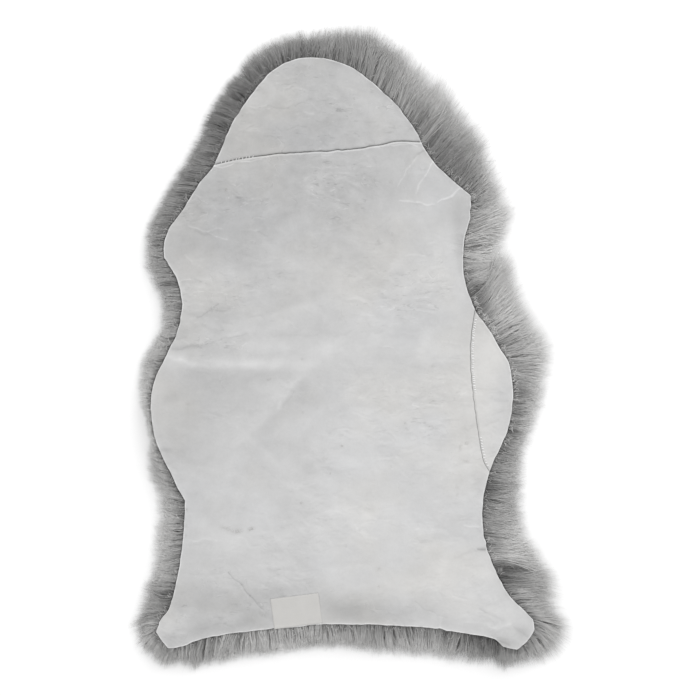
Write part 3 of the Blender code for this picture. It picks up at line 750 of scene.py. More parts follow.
def outward(points, reach_mm):
    """Directions out of the edge, evened over its neighbourhood."""
    window = int(reach_mm / EDGE_STEP) | 1
    even = sum(np.roll(points, k, axis=0) for k in range(-(window // 2), window // 2 + 1))
    along = np.roll(even, -1, axis=0) - np.roll(even, 1, axis=0)
    normal = np.column_stack([-along[:, 1], along[:, 0]])
    return normal / np.linalg.norm(normal, axis=1)[:, None]


def in_chunks(function, at):
    """The function's results for all the points, taken some at a time to save memory."""
    starts = range(0, max(len(at), 1), CHUNK)
    return np.concatenate([function(at[start : start + CHUNK]) for start in starts])


def distance_to_lines(at, starts, ends):
    """Distance from each point to the nearest of the lines."""
    run = ends - starts

    def nearest(some):
        to = some[:, None, :] - starts[None]
        share = np.clip((to * run).sum(2) / np.maximum((run**2).sum(1), 1e-9), 0, 1)
        return np.sqrt(((to - share[..., None] * run) ** 2).sum(2)).min(axis=1)

    return in_chunks(nearest, at)


def distance_to_points(at, others):
    """Distance from each point to the nearest of the others."""
    return in_chunks(lambda some: np.sqrt(((some[:, None, :] - others[None]) ** 2).sum(2).min(1)), at)


def inside_polygon(at, ring):
    """Which points are inside the ring, as a line to the right of them crosses it an odd number of times."""
    (x0, y0), (x1, y1) = ring.T, np.roll(ring, -1, axis=0).T
    slope = (x1 - x0) / np.where(y1 == y0, 1e-9, y1 - y0)

    def odd_crossings(some):
        x, y = some[:, 0, None], some[:, 1, None]
        crosses = (y0 > y) != (y1 > y)
        return (crosses & (x < x0 + slope * (y - y0))).sum(1) % 2 == 1

    return in_chunks(odd_crossings, at)


def bell(distance, wide):
    """One at no distance, and next to nothing past twice the width."""
    return np.exp(-((distance / wide) ** 2))


def around(points, x, y, half):
    """How near the points are to a place, as a bell of this half width."""
    return bell(np.linalg.norm(points - (x, y), axis=1), half)


def waves(at, rows):
    """Sum of the sine waves over the plane."""
    total = np.zeros(len(at))
    for length, heading, phase, rise in rows:
        turn = math.radians(heading)
        total += rise * np.sin(at @ (math.cos(turn), math.sin(turn)) * 2 * math.pi / length + phase)
    return total


def ridges(at, rows, narrow=1.0, fade=0.0):
    """Sum of the ridges, where fade lowers the wide ones."""
    total = np.zeros(len(at))
    for x0, y0, x1, y1, half, rise in rows:
        away = distance_to_lines(at, np.array([[x0, y0]], float), np.array([[x1, y1]], float))
        total += rise * (CREASE_USUAL / half) ** fade * bell(away, half * narrow)
    return total


def strayed(at, sign=1.0):
    """The points moved aside a little, which makes straight creases wander."""
    return at + sign * np.column_stack([waves(at, STRAY_X), waves(at, STRAY_Y)])


def patches(at, rows):
    """Sum of the soft oval patches."""
    total = np.zeros(len(at))
    for x, y, long, wide, heading, share in rows:
        turn = math.radians(heading)
        to = at - (x, y)
        u = to[:, 0] * math.cos(turn) + to[:, 1] * math.sin(turn)
        v = to[:, 1] * math.cos(turn) - to[:, 0] * math.sin(turn)
        total += share * np.exp(-((u / long) ** 2) - (v / wide) ** 2)
    return total


def band_quads(ids):
    """Quads between each row of vertices and the next, where every row closes on itself."""
    after = np.roll(ids, -1, axis=1)
    return np.stack([ids[:-1], after[:-1], after[1:], ids[1:]], axis=-1).reshape(-1, 4)


def smooth_noise(count, width, rng):
    """Even random numbers round a ring, with a spread of about one."""
    raw = rng.normal(size=count)
    kernel = np.exp(-(((np.arange(count) - count // 2) / max(width, 1e-3)) ** 2))
    even = np.fft.irfft(np.fft.rfft(raw) * np.fft.rfft(np.roll(kernel, -(count // 2))), count)
    return even / even.std()


label_low, label_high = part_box("label")
label_shift = [(label_low[d] + label_high[d]) / 2 / MM - LABEL_MIDDLE[d] for d in (0, 1)]
SHIFT = np.array([*label_shift, 0.0])  # from these millimetres to the frame's own


def build_mesh(name, verts, faces, material, uv=None, attributes=None):
    """An object from millimetre vertices and arrays of faces, each of one size."""
    mesh = bpy.data.meshes.new(name)
    groups = [np.asarray(f, np.int32) for f in faces if len(f)]
    loops = np.concatenate([g.ravel() for g in groups])
    sizes = np.concatenate([np.full(len(g), g.shape[1], np.int32) for g in groups])
    starts = np.concatenate([[0], np.cumsum(sizes)[:-1]]).astype(np.int32)
    mesh.vertices.add(len(verts))
    mesh.vertices.foreach_set("co", ((np.asarray(verts) + SHIFT) * MM).astype(np.float32).ravel())
    mesh.loops.add(len(loops))
    mesh.loops.foreach_set("vertex_index", loops)
    mesh.polygons.add(len(sizes))
    mesh.polygons.foreach_set("loop_start", starts)
    mesh.update(calc_edges=True)
    if uv is not None:
        layer = mesh.uv_layers.new(name="OFBake")
        layer.data.foreach_set("uv", uv[loops].astype(np.float32).ravel())
    for key, values in (attributes or {}).items():
        mesh.attributes.new(key, "FLOAT", "POINT").data.foreach_set("value", values.astype(np.float32))
    mesh.polygons.foreach_set("use_smooth", np.ones(len(sizes), bool))
    mesh.materials.append(material)
    mesh.validate()
    obj = bpy.data.objects.new(name, mesh)
    bpy.context.scene.collection.objects.link(obj)
    return obj


# ---------------------------------------------------------------- materials


class Nodes:
    """Short calls for building a material's nodes."""

    def __init__(self, name, roughness, **sockets):
        self.material = bpy.data.materials.new(name)
        self.material.use_nodes = True
        self.tree = self.material.node_tree
        self.shader = self.tree.nodes["Principled BSDF"]
        self.shader.inputs["Roughness"].default_value = roughness
        for key, value in sockets.items():
            self.shader.inputs[key.replace("_", " ")].default_value = value

    def add(self, kind, inputs=(), out=0, **settings):
        node = self.tree.nodes.new(kind)
        for key, value in settings.items():
            setattr(node, key, value)
        for key, value in dict(inputs).items():
            if isinstance(value, bpy.types.NodeSocket):
                self.tree.links.new(value, node.inputs[key])
            else:
                node.inputs[key].default_value = value
        return node.outputs[out]

    def link(self, value, socket):
        self.tree.links.new(value, self.shader.inputs[socket])

    def coordinates(self, scale=(1, 1, 1), turn=0.0, place=(0, 0, 0)):
        at = self.add("ShaderNodeTexCoord", out=3)
        at = self.add("ShaderNodeVectorMath", {0: at, 1: place}, operation="ADD")
        return self.add("ShaderNodeMapping", {0: at, 2: (0, 0, math.radians(turn)), 3: scale})

    def noise(self, at, scale, detail=3.0, rough=0.55, distort=0.0):
        return self.add(
            "ShaderNodeTexNoise",
            {"Vector": at, "Scale": scale, "Detail": detail, "Roughness": rough, "Distortion": distort},
        )

    def attribute(self, name):
        return self.add("ShaderNodeAttribute", out=2, attribute_name=name)

    def math(self, operation, a, b=0.0):
        return self.add("ShaderNodeMath", {0: a, 1: b}, operation=operation)

    def times(self, a, b):
        return self.math("MULTIPLY", a, b)

    def total(self, *values):
        whole = values[0]
        for value in values[1:]:
            whole = self.math("ADD", whole, value)
        return whole

    def spread(self, value, low, high, to_low, to_high):
        return self.add("ShaderNodeMapRange", {0: value, 1: low, 2: high, 3: to_low, 4: to_high})

    def vary(self, value, share):
        """A noise's middle range, as a change by the share either way."""
        return self.spread(value, 0.3, 0.7, -share, share)

    def relief(self, turn, scale, distort):
        """Light and dark sides of shallow wrinkles, lit from above."""
        both = [self.coordinates(RELIEF_STRETCH, turn, place) for place in ((0, 0, 0), RELIEF_STEP)]
        here, there = (self.noise(at, scale, 1.5, 0.5, distort) for at in both)
        return self.math("SUBTRACT", here, there)

    def mix(self, factor, a, b, blend="MIX"):
        node = self.tree.nodes.new("ShaderNodeMix")
        node.data_type = "RGBA"
        node.blend_type = blend
        for socket, value in ((node.inputs[0], factor), (node.inputs[6], a), (node.inputs[7], b)):
            if isinstance(value, bpy.types.NodeSocket):
                self.tree.links.new(value, socket)
            else:
                socket.default_value = value
        return node.outputs[2]

    def shaded(self, colour, value):
        """The colour times the value."""
        shade = self.add("ShaderNodeCombineColor", {0: value, 1: value, 2: value})
        return self.mix(1.0, colour, shade, "MULTIPLY")

    def bump(self, height, strength, distance, over=None):
        inputs = {"Height": height, "Strength": strength, "Distance": distance}
        if over is not None:
            inputs["Normal"] = over
        return self.add("ShaderNodeBump", inputs)


def grey(value, warm=0.0):
    return (value * (1 + warm), value, value * (1 - 2 * warm), 1)


def skin_material(name, mean):
    """Split suede: a soft nap, cloudy tone, shallow wrinkles and the marks placed on it, with light and shade
    painted in.
    """
    m = Nodes(name, 0.88, Specular_IOR_Level=0.2, Sheen_Weight=0.10, Sheen_Roughness=0.6)
    at = m.coordinates()
    broad = m.noise(at, 7.5, 3.0, 0.5, 0.3)
    cloud = m.noise(m.coordinates((0.8, 1.15, 1.0), 12.0), 20.0, 3.0, 0.55, 0.3)
    mottle = m.noise(at, 55.0, 3.0, 0.5, 0.2)
    grain = m.noise(at, 230.0, 2.0, 0.55)
    nap = m.noise(at, 420.0, 3.0, 0.6)
    marks = m.attribute("marks")

    # painted light and shade of shallow wrinkles, which come and go over the skin
    where = m.spread(m.noise(m.coordinates((1, 1, 1), 20.0), 11.0, 2.0), 0.45, 0.64, 0.10, 1.7)
    wrinkle_shading = m.times(m.relief(24.0, 15.0, 0.7), m.times(where, WRINKLE_SHADING))
    fine_wrinkle_shading = m.times(m.relief(8.0, 44.0, 0.9), m.times(where, FINE_WRINKLE_SHADING))

    # small curled marks: painted light on one side of each and painted shade on the other
    line = m.math("SUBTRACT", m.noise(m.coordinates((0.75, 1.1, 1.0), 14.0), 46.0, 1.5, 0.5, 1.0), 0.5)
    side = m.spread(line, -0.010, 0.010, -MARK_LIGHT_AND_SHADE, MARK_LIGHT_AND_SHADE)
    curl = m.times(side, m.spread(m.math("ABSOLUTE", line), 0.010, 0.028, 1.0, 0.0))
    few = m.spread(m.noise(at, 34.0, 1.0), 0.54, 0.62, 0.0, 1.0)

    # flecks, where the skin was worked
    fleck = m.noise(m.coordinates((0.55, 1.6, 1.0), 8.0), 95.0, 2.5, 0.55, 1.2)
    worked = m.times(where, m.spread(marks, 0.35, 1.3, 0.45, 1.5))

    # the tone carries painted light and shade: the patches, the seams' lines and lips, the creases, the
    # wrinkles and the marks
    tone = m.total(
        m.attribute("tone"),
        m.vary(broad, BROAD_TONE),
        m.vary(cloud, CLOUD_TONE),
        m.times(m.vary(mottle, MOTTLE_TONE), m.spread(marks, 0.5, 1.3, 0.9, 1.5)),
        m.times(m.spread(fleck, 0.62, 0.69, 0.0, FLECK_TONES[0]), worked),
        m.times(m.spread(fleck, 0.37, 0.30, 0.0, FLECK_TONES[1]), worked),
        m.vary(nap, NAP_TONE),
        m.vary(grain, GRAIN_TONE),
        m.times(m.attribute("crease"), m.spread(mottle, 0.35, 0.62, 0.55, 1.2)),
        m.times(m.times(curl, few), marks),
        wrinkle_shading,
        fine_wrinkle_shading,
        1.0,
    )
    cream = m.spread(m.noise(at, 8.0, 3.0, 0.5), 0.48, 0.66, 0.0, 1.0)
    cool = m.spread(m.noise(m.coordinates((1, 1, 1), 50.0), 10.0, 2.0, 0.5), 0.55, 0.7, 0.0, 0.8)
    base = m.mix(cream, grey(mean), grey(mean * 0.99, 0.009))
    base = m.shaded(m.mix(cool, base, grey(mean, -0.004)), tone)
    speck = m.spread(m.noise(at, 520.0, 2.0, 0.7), 0.42, 0.58, 0.25, 1.0)
    base = m.mix(m.times(m.attribute("stain"), speck), base, STAIN_COLOUR)
    # painted highlight along the cut edge
    m.link(m.mix(m.attribute("rim"), base, grey(RIM_HIGHLIGHT_TONE)), "Base Color")
    fine = m.bump(nap, 0.3, 0.0004)
    coarse = m.bump(mottle, 0.4, 0.0012, fine)
    m.link(m.bump(cloud, 0.4, 0.0025, coarse), "Normal")
    return m.material


def wool_material(name, stops, locks, contact, gap_shade_reach, streak):
    """Grey wool whose tone runs from root to tip along v, and from lock to lock along u, with painted shade
    at the roots, between the locks and where they part.
    """
    m = Nodes(name, 0.85, Specular_IOR_Level=0.12, Sheen_Weight=0.2, Sheen_Roughness=0.5)
    uv = m.add("ShaderNodeUVMap", uv_map="OFBake")
    parts = m.tree.nodes.new("ShaderNodeSeparateXYZ")
    m.tree.links.new(uv, parts.inputs[0])
    u, v = parts.outputs[0], parts.outputs[1]

    # the stations' tones: one ramp along the rim for each of root, half-way and tip
    ramps = []
    for column in range(3):
        node = m.tree.nodes.new("ShaderNodeValToRGB")
        m.tree.links.new(u, node.inputs[0])
        ramp = node.color_ramp
        while len(ramp.elements) > 1:
            ramp.elements.remove(ramp.elements[-1])
        for i, (place, *tones) in enumerate(stops):
            element = ramp.elements[0] if i == 0 else ramp.elements.new(place)
            element.position = place
            element.color = grey(tones[column], 0.006)
        ramps.append(node.outputs[0])
    base = m.mix(m.spread(v, 0.04, 0.36, 0.0, 1.0), ramps[0], ramps[1])
    base = m.mix(m.spread(v, 0.36, 0.68, 0.0, 1.0), base, ramps[2])
    base = m.mix(m.spread(v, 0.66, 0.98, 0.0, 1.0), base, m.shaded(ramps[2], TIP_LIFT))

    # painted shade between the locks, which reaches out like teeth
    lock = m.times(u, float(locks))
    aside = m.math("ABSOLUTE", m.math("SUBTRACT", m.math("FRACT", lock), 0.5))
    own = m.add("ShaderNodeTexWhiteNoise", {"W": m.math("FLOOR", lock)}, noise_dimensions="1D")
    clump = {"W": m.times(lock, 0.31), "Detail": 1.0}
    clump = m.add("ShaderNodeTexNoise", clump, noise_dimensions="1D")
    gap_shade_along = m.spread(v, 0.03, m.spread(own, 0.0, 1.0, 0.12, gap_shade_reach), 0.52, 0.02)
    deep = m.times(m.spread(clump, 0.36, 0.62, 1.25, 0.15), gap_shade_along)
    painted_gap_shade = m.times(m.spread(aside, 0.16, 0.42, 0.0, 1.0), deep)

    # how the locks and their fibres differ
    fibre, blob = (
        m.noise(m.add("ShaderNodeCombineXYZ", {0: m.times(lock, along), 1: m.times(v, out)}), 1.0, 1.0, 0.5)
        for along, out in ((5.0, 2.0), (0.16, 2.4))
    )
    change = m.total(m.spread(own, 0.0, 1.0, -0.06, 0.06), m.vary(clump, 0.18), m.vary(fibre, 0.12))
    change = m.times(change, m.spread(v, 0.1, 0.55, 1.15, streak))
    value = m.math("SUBTRACT", m.total(1.0, change, m.vary(blob, 0.10)), painted_gap_shade)

    # the skin's shadow at the root, and painted shade deeper in the fleece
    value = m.times(value, m.spread(v, 0.3 * contact, contact, 0.22, 1.0))
    value = m.times(value, m.spread(v, 0.05, 0.75, *ROOT_SHADE))
    m.link(m.shaded(base, value), "Base Color")
    return m.material


def under_wool_material():
    m = Nodes("wool_under", 0.92, Specular_IOR_Level=0.1)
    at = m.coordinates()
    curl = m.noise(at, 150.0, 5.0, 0.65, 0.6)
    clump = m.noise(at, 60.0, 3.0, 0.6)
    value = m.times(m.spread(curl, 0.3, 0.7, 0.75, 1.2), m.spread(clump, 0.3, 0.7, 0.85, 1.12))
    # the tone attribute carries painted shade under the skin, behind the locks and in the underside's hollows
    value = m.times(value, m.attribute("tone"))
    m.link(m.shaded(grey(1.0, 0.008), value), "Base Color")
    m.link(m.bump(curl, 0.8, 0.003), "Normal")
    return m.material


def label_material():
    m = Nodes("label_cloth", 0.62, Specular_IOR_Level=0.3, Sheen_Weight=0.1)
    at = m.coordinates((1, 1, 1), -LABEL_TURN)
    threads = {"Vector": at, "Scale": 900.0, "Distortion": 0.4}
    weave = m.times(*(m.add("ShaderNodeTexWave", threads, bands_direction=way) for way in "XY"))
    haze = m.noise(at, 45.0, 3.0)
    value = m.total(m.spread(weave, 0.0, 1.0, 0.97, 1.02), m.vary(haze, 0.025))
    m.link(m.shaded(grey(LABEL_TONE, 0.014), value), "Base Color")
    m.link(m.bump(weave, 0.3, 0.0002), "Normal")
    return m.material


def thread_material():
    m = Nodes("thread", 0.6, Specular_IOR_Level=0.3)
    strands = {"Vector": m.coordinates(), "Scale": 1400.0}
    twist = m.add("ShaderNodeTexWave", strands, bands_direction="DIAGONAL")
    m.link(m.mix(m.spread(twist, 0, 1, 0.0, 0.4), grey(0.90), grey(0.74)), "Base Color")
    return m.material


def floor_material():
    m = Nodes("floor", 0.8, Specular_IOR_Level=0.1)
    haze = m.noise(m.coordinates(), 3.0, 3.0)
    m.link(m.mix(m.spread(haze, 0.3, 0.7, 0.0, 1.0), grey(0.94), grey(0.95)), "Base Color")
    return m.material


# ---------------------------------------------------------------- the skin


class Skin:
    """The panels seen from above, and the height of the skin over them."""

    def __init__(self):
        rng = np.random.default_rng(SEED + SEEDS["skin"])
        edge, self.station = edge_points()
        self.count = len(edge)
        self.out = outward(edge, OUT_EVEN)
        wander = WANDER * smooth_noise(self.count, WANDER_WIDE, rng)
        for x, y, half, step in NICKS:
            wander += step * around(edge, x, y, half)
        self.edge = edge + outward(edge, NEAR_EVEN) * wander[:, None]
        self.seam_line, self.seams = {}, {}
        for key, rows in (("head", HEAD_SEAM), ("side", SIDE_SEAM)):
            line = seam_points(rows)
            fade = np.sin(np.linspace(0, math.pi, len(line)))
            wobble = SEAM_WANDER * smooth_noise(len(line), SEAM_WANDER_WIDE, rng) * fade
            self.seam_line[key] = line + unit_normals(line) * wobble[:, None]
            whole = np.vstack([rows[:1], self.seam_line[key], rows[-1:]])
            self.seams[key] = (whole[:-1], whole[1:])
        self.curl = CURL_MEAN + CURL_SPREAD * smooth_noise(self.count, CURL_WIDE, rng)
        for x, y, half, lift in LIPS:
            self.curl += lift * around(edge, x, y, half)
        # painted highlight along the cut edge, stronger where it is rolled up more
        self.painted_light = np.clip(HIGHLIGHT_LEAST + HIGHLIGHT_BY_CURL * self.curl, *HIGHLIGHT_LIMITS)
        self.painted_light += HIGHLIGHT_SPREAD * smooth_noise(self.count, HIGHLIGHT_SPREAD_WIDE, rng)
        for x, y, half, more in EDGE_HIGHLIGHTS:
            self.painted_light += more * around(edge, x, y, half)
        for x, y, half, share in HEM_DOTTED:
            self.painted_light += share * around(edge, x, y, half) * smooth_noise(self.count, DOT_WIDE, rng)
        self.painted_light = np.clip(self.painted_light, 0.0, 1.0)
        self.rows = self.guide_points()

    def guide_points(self):
        """Rows of points beside the seams and just inside the edge, where the skin's tone turns sharply."""
        rows = [self.edge - outward(self.edge, NEAR_EVEN) * depth for depth in EDGE_ROWS]
        for line in self.seam_line.values():
            rows += [line + unit_normals(line) * gap for gap in SEAM_ROWS]
        return np.vstack(rows)

    def run(self, start, end):
        """Indices of the edge from one station to another, clockwise, both in."""
        a, b = self.station[start], self.station[end]
        return [(a + k) % self.count for k in range((b - a) % self.count + 1)]

    def edge_distance(self, at):
        """Distance from the edge, and the index of the edge point that is nearest."""
        near = in_chunks(lambda some: ((some[:, None, :] - self.edge[None]) ** 2).sum(2).argmin(1), at)
        after, before = (near + 1) % self.count, (near - 1) % self.count
        best = np.full(len(at), np.inf)
        for start, end in ((before, near), (near, after)):
            run = self.edge[end] - self.edge[start]
            to = at - self.edge[start]
            share = np.clip((to * run).sum(1) / np.maximum((run**2).sum(1), 1e-9), 0, 1)
            best = np.minimum(best, np.linalg.norm(to - share[:, None] * run, axis=1))
        return best, near

    def broad(self, at, inside):
        """Height as the solids have it."""
        height = LOFT - EDGE_DROOP * np.exp(-((inside / DROOP_LENGTH) ** DROOP_POWER))
        return height + waves(at, SWELLS) + ridges(at, FOLDS)

    def height(self, at, panel="body"):
        """Height of the skin's upper face with its creases, seams and curled edge, and its tone masks, which
        carry painted light and shade.
        """
        inside, near = self.edge_distance(at)
        height = self.broad(at, inside) + waves(at, RIPPLES) * np.clip(inside / RIPPLE_FADE, 0, 1)
        moved = strayed(at)
        height += ridges(moved, CREASES)
        lip = np.clip(self.curl[near], *CURL_LIMITS) * bell(inside, LIP_WIDE)
        height += lip - HOLLOW_DEEP * bell(inside - HOLLOW_AT, HOLLOW_WIDE)
        # tone patches, which carry painted light and shade as well as the skin's own uneven tone
        tone = patches(at, TONE_AND_LIGHT_PATCHES)
        # painted highlight on raised creases, partly wear as well, and painted shade in the troughs
        painted_light = np.clip(ridges(moved, CREASES, CREASE_NARROW, CREASE_FADE), *CREASE_LIMITS)
        for key, (deep, swell, dark, lit_lip, other_lip, lit) in SEAM_LOOK.items():
            gap = distance_to_lines(at, *self.seams[key])
            height += swell * bell(gap, SEAM_SWELL_WIDE) - (deep + swell) * bell(gap, GROOVE_WIDE)
            uneven = 1 + PATCHY * waves(at, SEAM_PATCHES)
            # painted shade along the groove, and painted light on the lips beside it
            tone += dark * uneven * bell(gap, SEAM_SHADE_WIDE)
            beside = bell(gap - SEAM_HIGHLIGHT_AT, SEAM_HIGHLIGHT_WIDE) * (1 + SEAM_HIGHLIGHT_PATCHY - SEAM_HIGHLIGHT_PATCHY * uneven)
            tone += (lit_lip if panel == lit else other_lip) * beside
        masks = {
            "tone": tone,
            "crease": painted_light * CREASE_LIGHT_AND_SHADE,
            "stain": np.clip(patches(at, STAINS), 0, 1),
            "marks": MARKS_LEAST + patches(at, MARKS),
            # painted highlight along the cut edge
            "rim": RIM_HIGHLIGHT * bell(inside, RIM_HIGHLIGHT_WIDE) * self.painted_light[near],
        }
        return height, masks


def crease_points():
    """Extra points along the creases, so that the mesh bends where they are."""
    points = []
    for x0, y0, x1, y1, half, _ in CREASES:
        a, b = np.array([x0, y0], float), np.array([x1, y1], float)
        long = np.linalg.norm(b - a)
        way = (b - a) / long
        side = np.array([-way[1], way[0]])
        for k in range(int(long / CREASE_STEP) + 1):
            points += [a + way * k * CREASE_STEP + side * half * aside for aside in CREASE_ROWS]
    return strayed(np.array(points), -1.0)


def grid_inside(ring, spacing, rng, extra=None):
    """Uneven points inside the ring, with the extra ones that fall there too."""
    low, high = ring.min(0), ring.max(0)
    xs = np.arange(low[0], high[0], spacing)
    ys = np.arange(low[1], high[1], spacing * math.sqrt(3) / 2)
    rows = [np.column_stack([xs + (r % 2) * spacing / 2, np.full(len(xs), y)]) for r, y in enumerate(ys)]
    at = np.vstack(rows)
    at = at + rng.uniform(-GRID_UNEVEN, GRID_UNEVEN, at.shape) * spacing
    ends = np.roll(ring, -1, axis=0)
    at = at[inside_polygon(at, ring)]
    at = at[distance_to_lines(at, ring, ends) > spacing * RING_CLEAR]
    if extra is None:
        return at
    extra = extra[inside_polygon(extra, ring)]
    kept = thinned(extra[distance_to_lines(extra, ring, ends) > EXTRA_RING_CLEAR], EXTRA_APART)
    return np.vstack([at[distance_to_points(at, kept) > spacing * EXTRA_CLEAR], kept])


def thinned(points, apart):
    """The points without those that share a small square with an earlier one."""
    cells = np.floor(points / apart).astype(int)
    _, first = np.unique(cells, axis=0, return_index=True)
    return points[np.sort(first)]


def triangulate(points, count):
    """Upward triangles over the ring of the first count points, with the rest inside it."""
    ring = [(k, (k + 1) % count) for k in range(count)]
    result = delaunay_2d_cdt([Vector(p) for p in points], ring, [], 0, 1e-7, True)
    names = np.array([origin[0] for origin in result[3]])
    found = names[np.array(result[2])]
    found = found[inside_polygon(points[found].mean(axis=1), points[:count])]
    a, b, c = (points[found[:, k]] for k in range(3))
    turn = (b - a)[:, 0] * (c - a)[:, 1] - (b - a)[:, 1] * (c - a)[:, 0]
    return np.where((turn > 0)[:, None], found, found[:, ::-1])


def build_panel(skin, name, panel, parts, beyond, material, rng):
    """One panel, from its runs of edge and seam, clockwise. Beyond, 1 or -1, is its side of a seam."""
    ring = []
    for kind, value in parts:
        if kind == "edge":
            ring.append(skin.edge[value])
            continue
        key, backward = value
        line = skin.seam_line[key]
        line = line + unit_normals(line) * beyond * SEAM_GAP / 2
        ring.append(line[::-1] if backward else line)
    ring = np.vstack(ring)
    rim = len(ring)
    at = np.vstack([ring, grid_inside(ring, GRID, rng, np.vstack([skin.rows, crease_points()]))])
    upper = triangulate(at, rim)
    height, masks = skin.height(at, panel)

    # the under-face, which is coarser, and the cut edge between the two
    flat = np.vstack([ring, grid_inside(ring, UNDER_GRID, rng)])
    lower = triangulate(flat, rim)[:, ::-1] + len(at)
    inside, _ = skin.edge_distance(flat)
    under = skin.broad(flat, inside) - SKIN_THICK - SLACK
    under[:rim] = np.minimum(height[:rim], under[:rim] + SKIN_THICK + SLACK) - SKIN_THICK * RIM_THIN
    ids = np.arange(rim)
    after = (ids + 1) % rim
    walls = np.column_stack([ids, after, after + len(at), ids + len(at)])
    full = {key: np.concatenate([values, np.zeros(len(flat))]) for key, values in masks.items()}
    # its side takes a share of the painted highlight
    full["rim"][len(at) : len(at) + rim] = masks["rim"][:rim] * WALL_HIGHLIGHT

    verts = np.vstack([np.column_stack([at, height]), np.column_stack([flat, under])])
    made = build_mesh(name, verts, [np.vstack([upper, lower]), walls], material, None, full)
    x, y = ring.T
    area = abs(x @ np.roll(y, -1) - y @ np.roll(x, -1)) / 2 * MM * MM
    size = (ring.max(0) - ring.min(0)) * MM
    return made, (float(size[0]), float(size[1])), float(area)


def build_panels(skin):
    rng = np.random.default_rng(SEED + SEEDS["panels"])
    upper = ("edge", skin.run("head_seam_right", "side_seam_top"))
    lower = ("edge", skin.run("side_seam_bottom", "head_seam_left"))
    head = ("edge", skin.run("head_seam_left", "head_seam_right"))
    side = ("edge", skin.run("side_seam_top", "side_seam_bottom"))
    made = []
    for panel, parts, beyond, tone in (
        ("body", (upper, ("seam", ("side", False)), lower, ("seam", ("head", False))), -1, 1.0),
        ("head", (head, ("seam", ("head", True))), 1, 0.985),
        ("patch", (side, ("seam", ("side", True))), 1, 1.02),
    ):
        material = skin_material("suede_" + panel, SKIN_MEAN * tone)
        made.append(build_panel(skin, "skin_" + panel, panel, parts, beyond, material, rng))
    return made


# ---------------------------------------------------------------- label and thread


def build_label(skin):
    """The blank label, which takes the skin's shape, with its upper edge a little raised."""
    width, depth = LABEL_SIZE
    turn = math.radians(LABEL_TURN)
    across, down = LABEL_GRID
    u, v = np.meshgrid(np.linspace(-0.5, 0.5, across) * width, np.linspace(-0.5, 0.5, down) * depth)
    u, v = u.ravel(), v.ravel()
    x = LABEL_SEWN_MIDDLE[0] + u * math.cos(turn) - v * math.sin(turn)
    y = LABEL_SEWN_MIDDLE[1] + u * math.sin(turn) + v * math.cos(turn)
    at = np.column_stack([x, y])
    base, _ = skin.height(at)
    lift = LABEL_LIFT * bell(depth / 2 - v, LABEL_LIFT_WIDE) * (0.6 + 0.4 * np.sin(u / 9.0))
    sewn = bell(np.minimum(width / 2 - np.abs(u), depth / 2 - np.abs(v)), LABEL_SEWN_WIDE)
    thick = LABEL_THICK * (1 - LABEL_SEWN_THIN * sewn)
    top = base + LAY_GAP * (1 - LABEL_SEWN_CLOSE * sewn) + thick + lift
    top += LABEL_WAVE * np.sin(u / 7 + v / 11)
    count = len(at)
    ids = np.arange(count).reshape(down, across)
    quads = np.stack([ids[:-1, :-1], ids[:-1, 1:], ids[1:, 1:], ids[1:, :-1]], axis=-1).reshape(-1, 4)
    rim = np.concatenate([ids[0, :-1], ids[:-1, -1], ids[-1, :0:-1], ids[:0:-1, 0]])[::-1]
    after = np.roll(rim, -1)
    walls = np.column_stack([rim, after, after + count, rim + count])
    verts = np.vstack([np.column_stack([at, top]), np.column_stack([at, top - thick])])
    faces = np.vstack([quads, quads[:, ::-1] + count, walls])
    return build_mesh("label_cloth", verts, [faces], label_material())


def across_and_up(runs):
    """Directions across each run of points, level with the floor, and at right angles to both."""
    along = np.gradient(runs, axis=1)
    along /= np.maximum(np.linalg.norm(along, axis=2, keepdims=True), 1e-6)
    side = np.cross(along, (0, 0, 1.0))
    side /= np.maximum(np.linalg.norm(side, axis=2, keepdims=True), 1e-6)
    return side, np.cross(side, along)


def tube(points, radius):
    """Vertices and quads of a closed thread along the points."""
    side, up = across_and_up(points[None])
    turns = np.arange(THREAD_SIDES) * 2 * math.pi / THREAD_SIDES
    taper = np.ones(len(points))
    taper[[0, -1]] = THREAD_TAPER
    spokes = side[0][:, None] * np.cos(turns)[None, :, None] + up[0][:, None] * np.sin(turns)[None, :, None]
    rings = points[:, None] + spokes * (radius * taper)[:, None, None]
    ids = np.arange(len(points) * THREAD_SIDES).reshape(len(points), THREAD_SIDES)
    first, last = ids[0], ids[-1]
    caps = [first[[0, 3, 2, 1]], first[[0, 5, 4, 3]], last[[0, 1, 2, 3]], last[[0, 3, 4, 5]]]
    return rings.reshape(-1, 3), np.vstack([band_quads(ids), np.array(caps)])


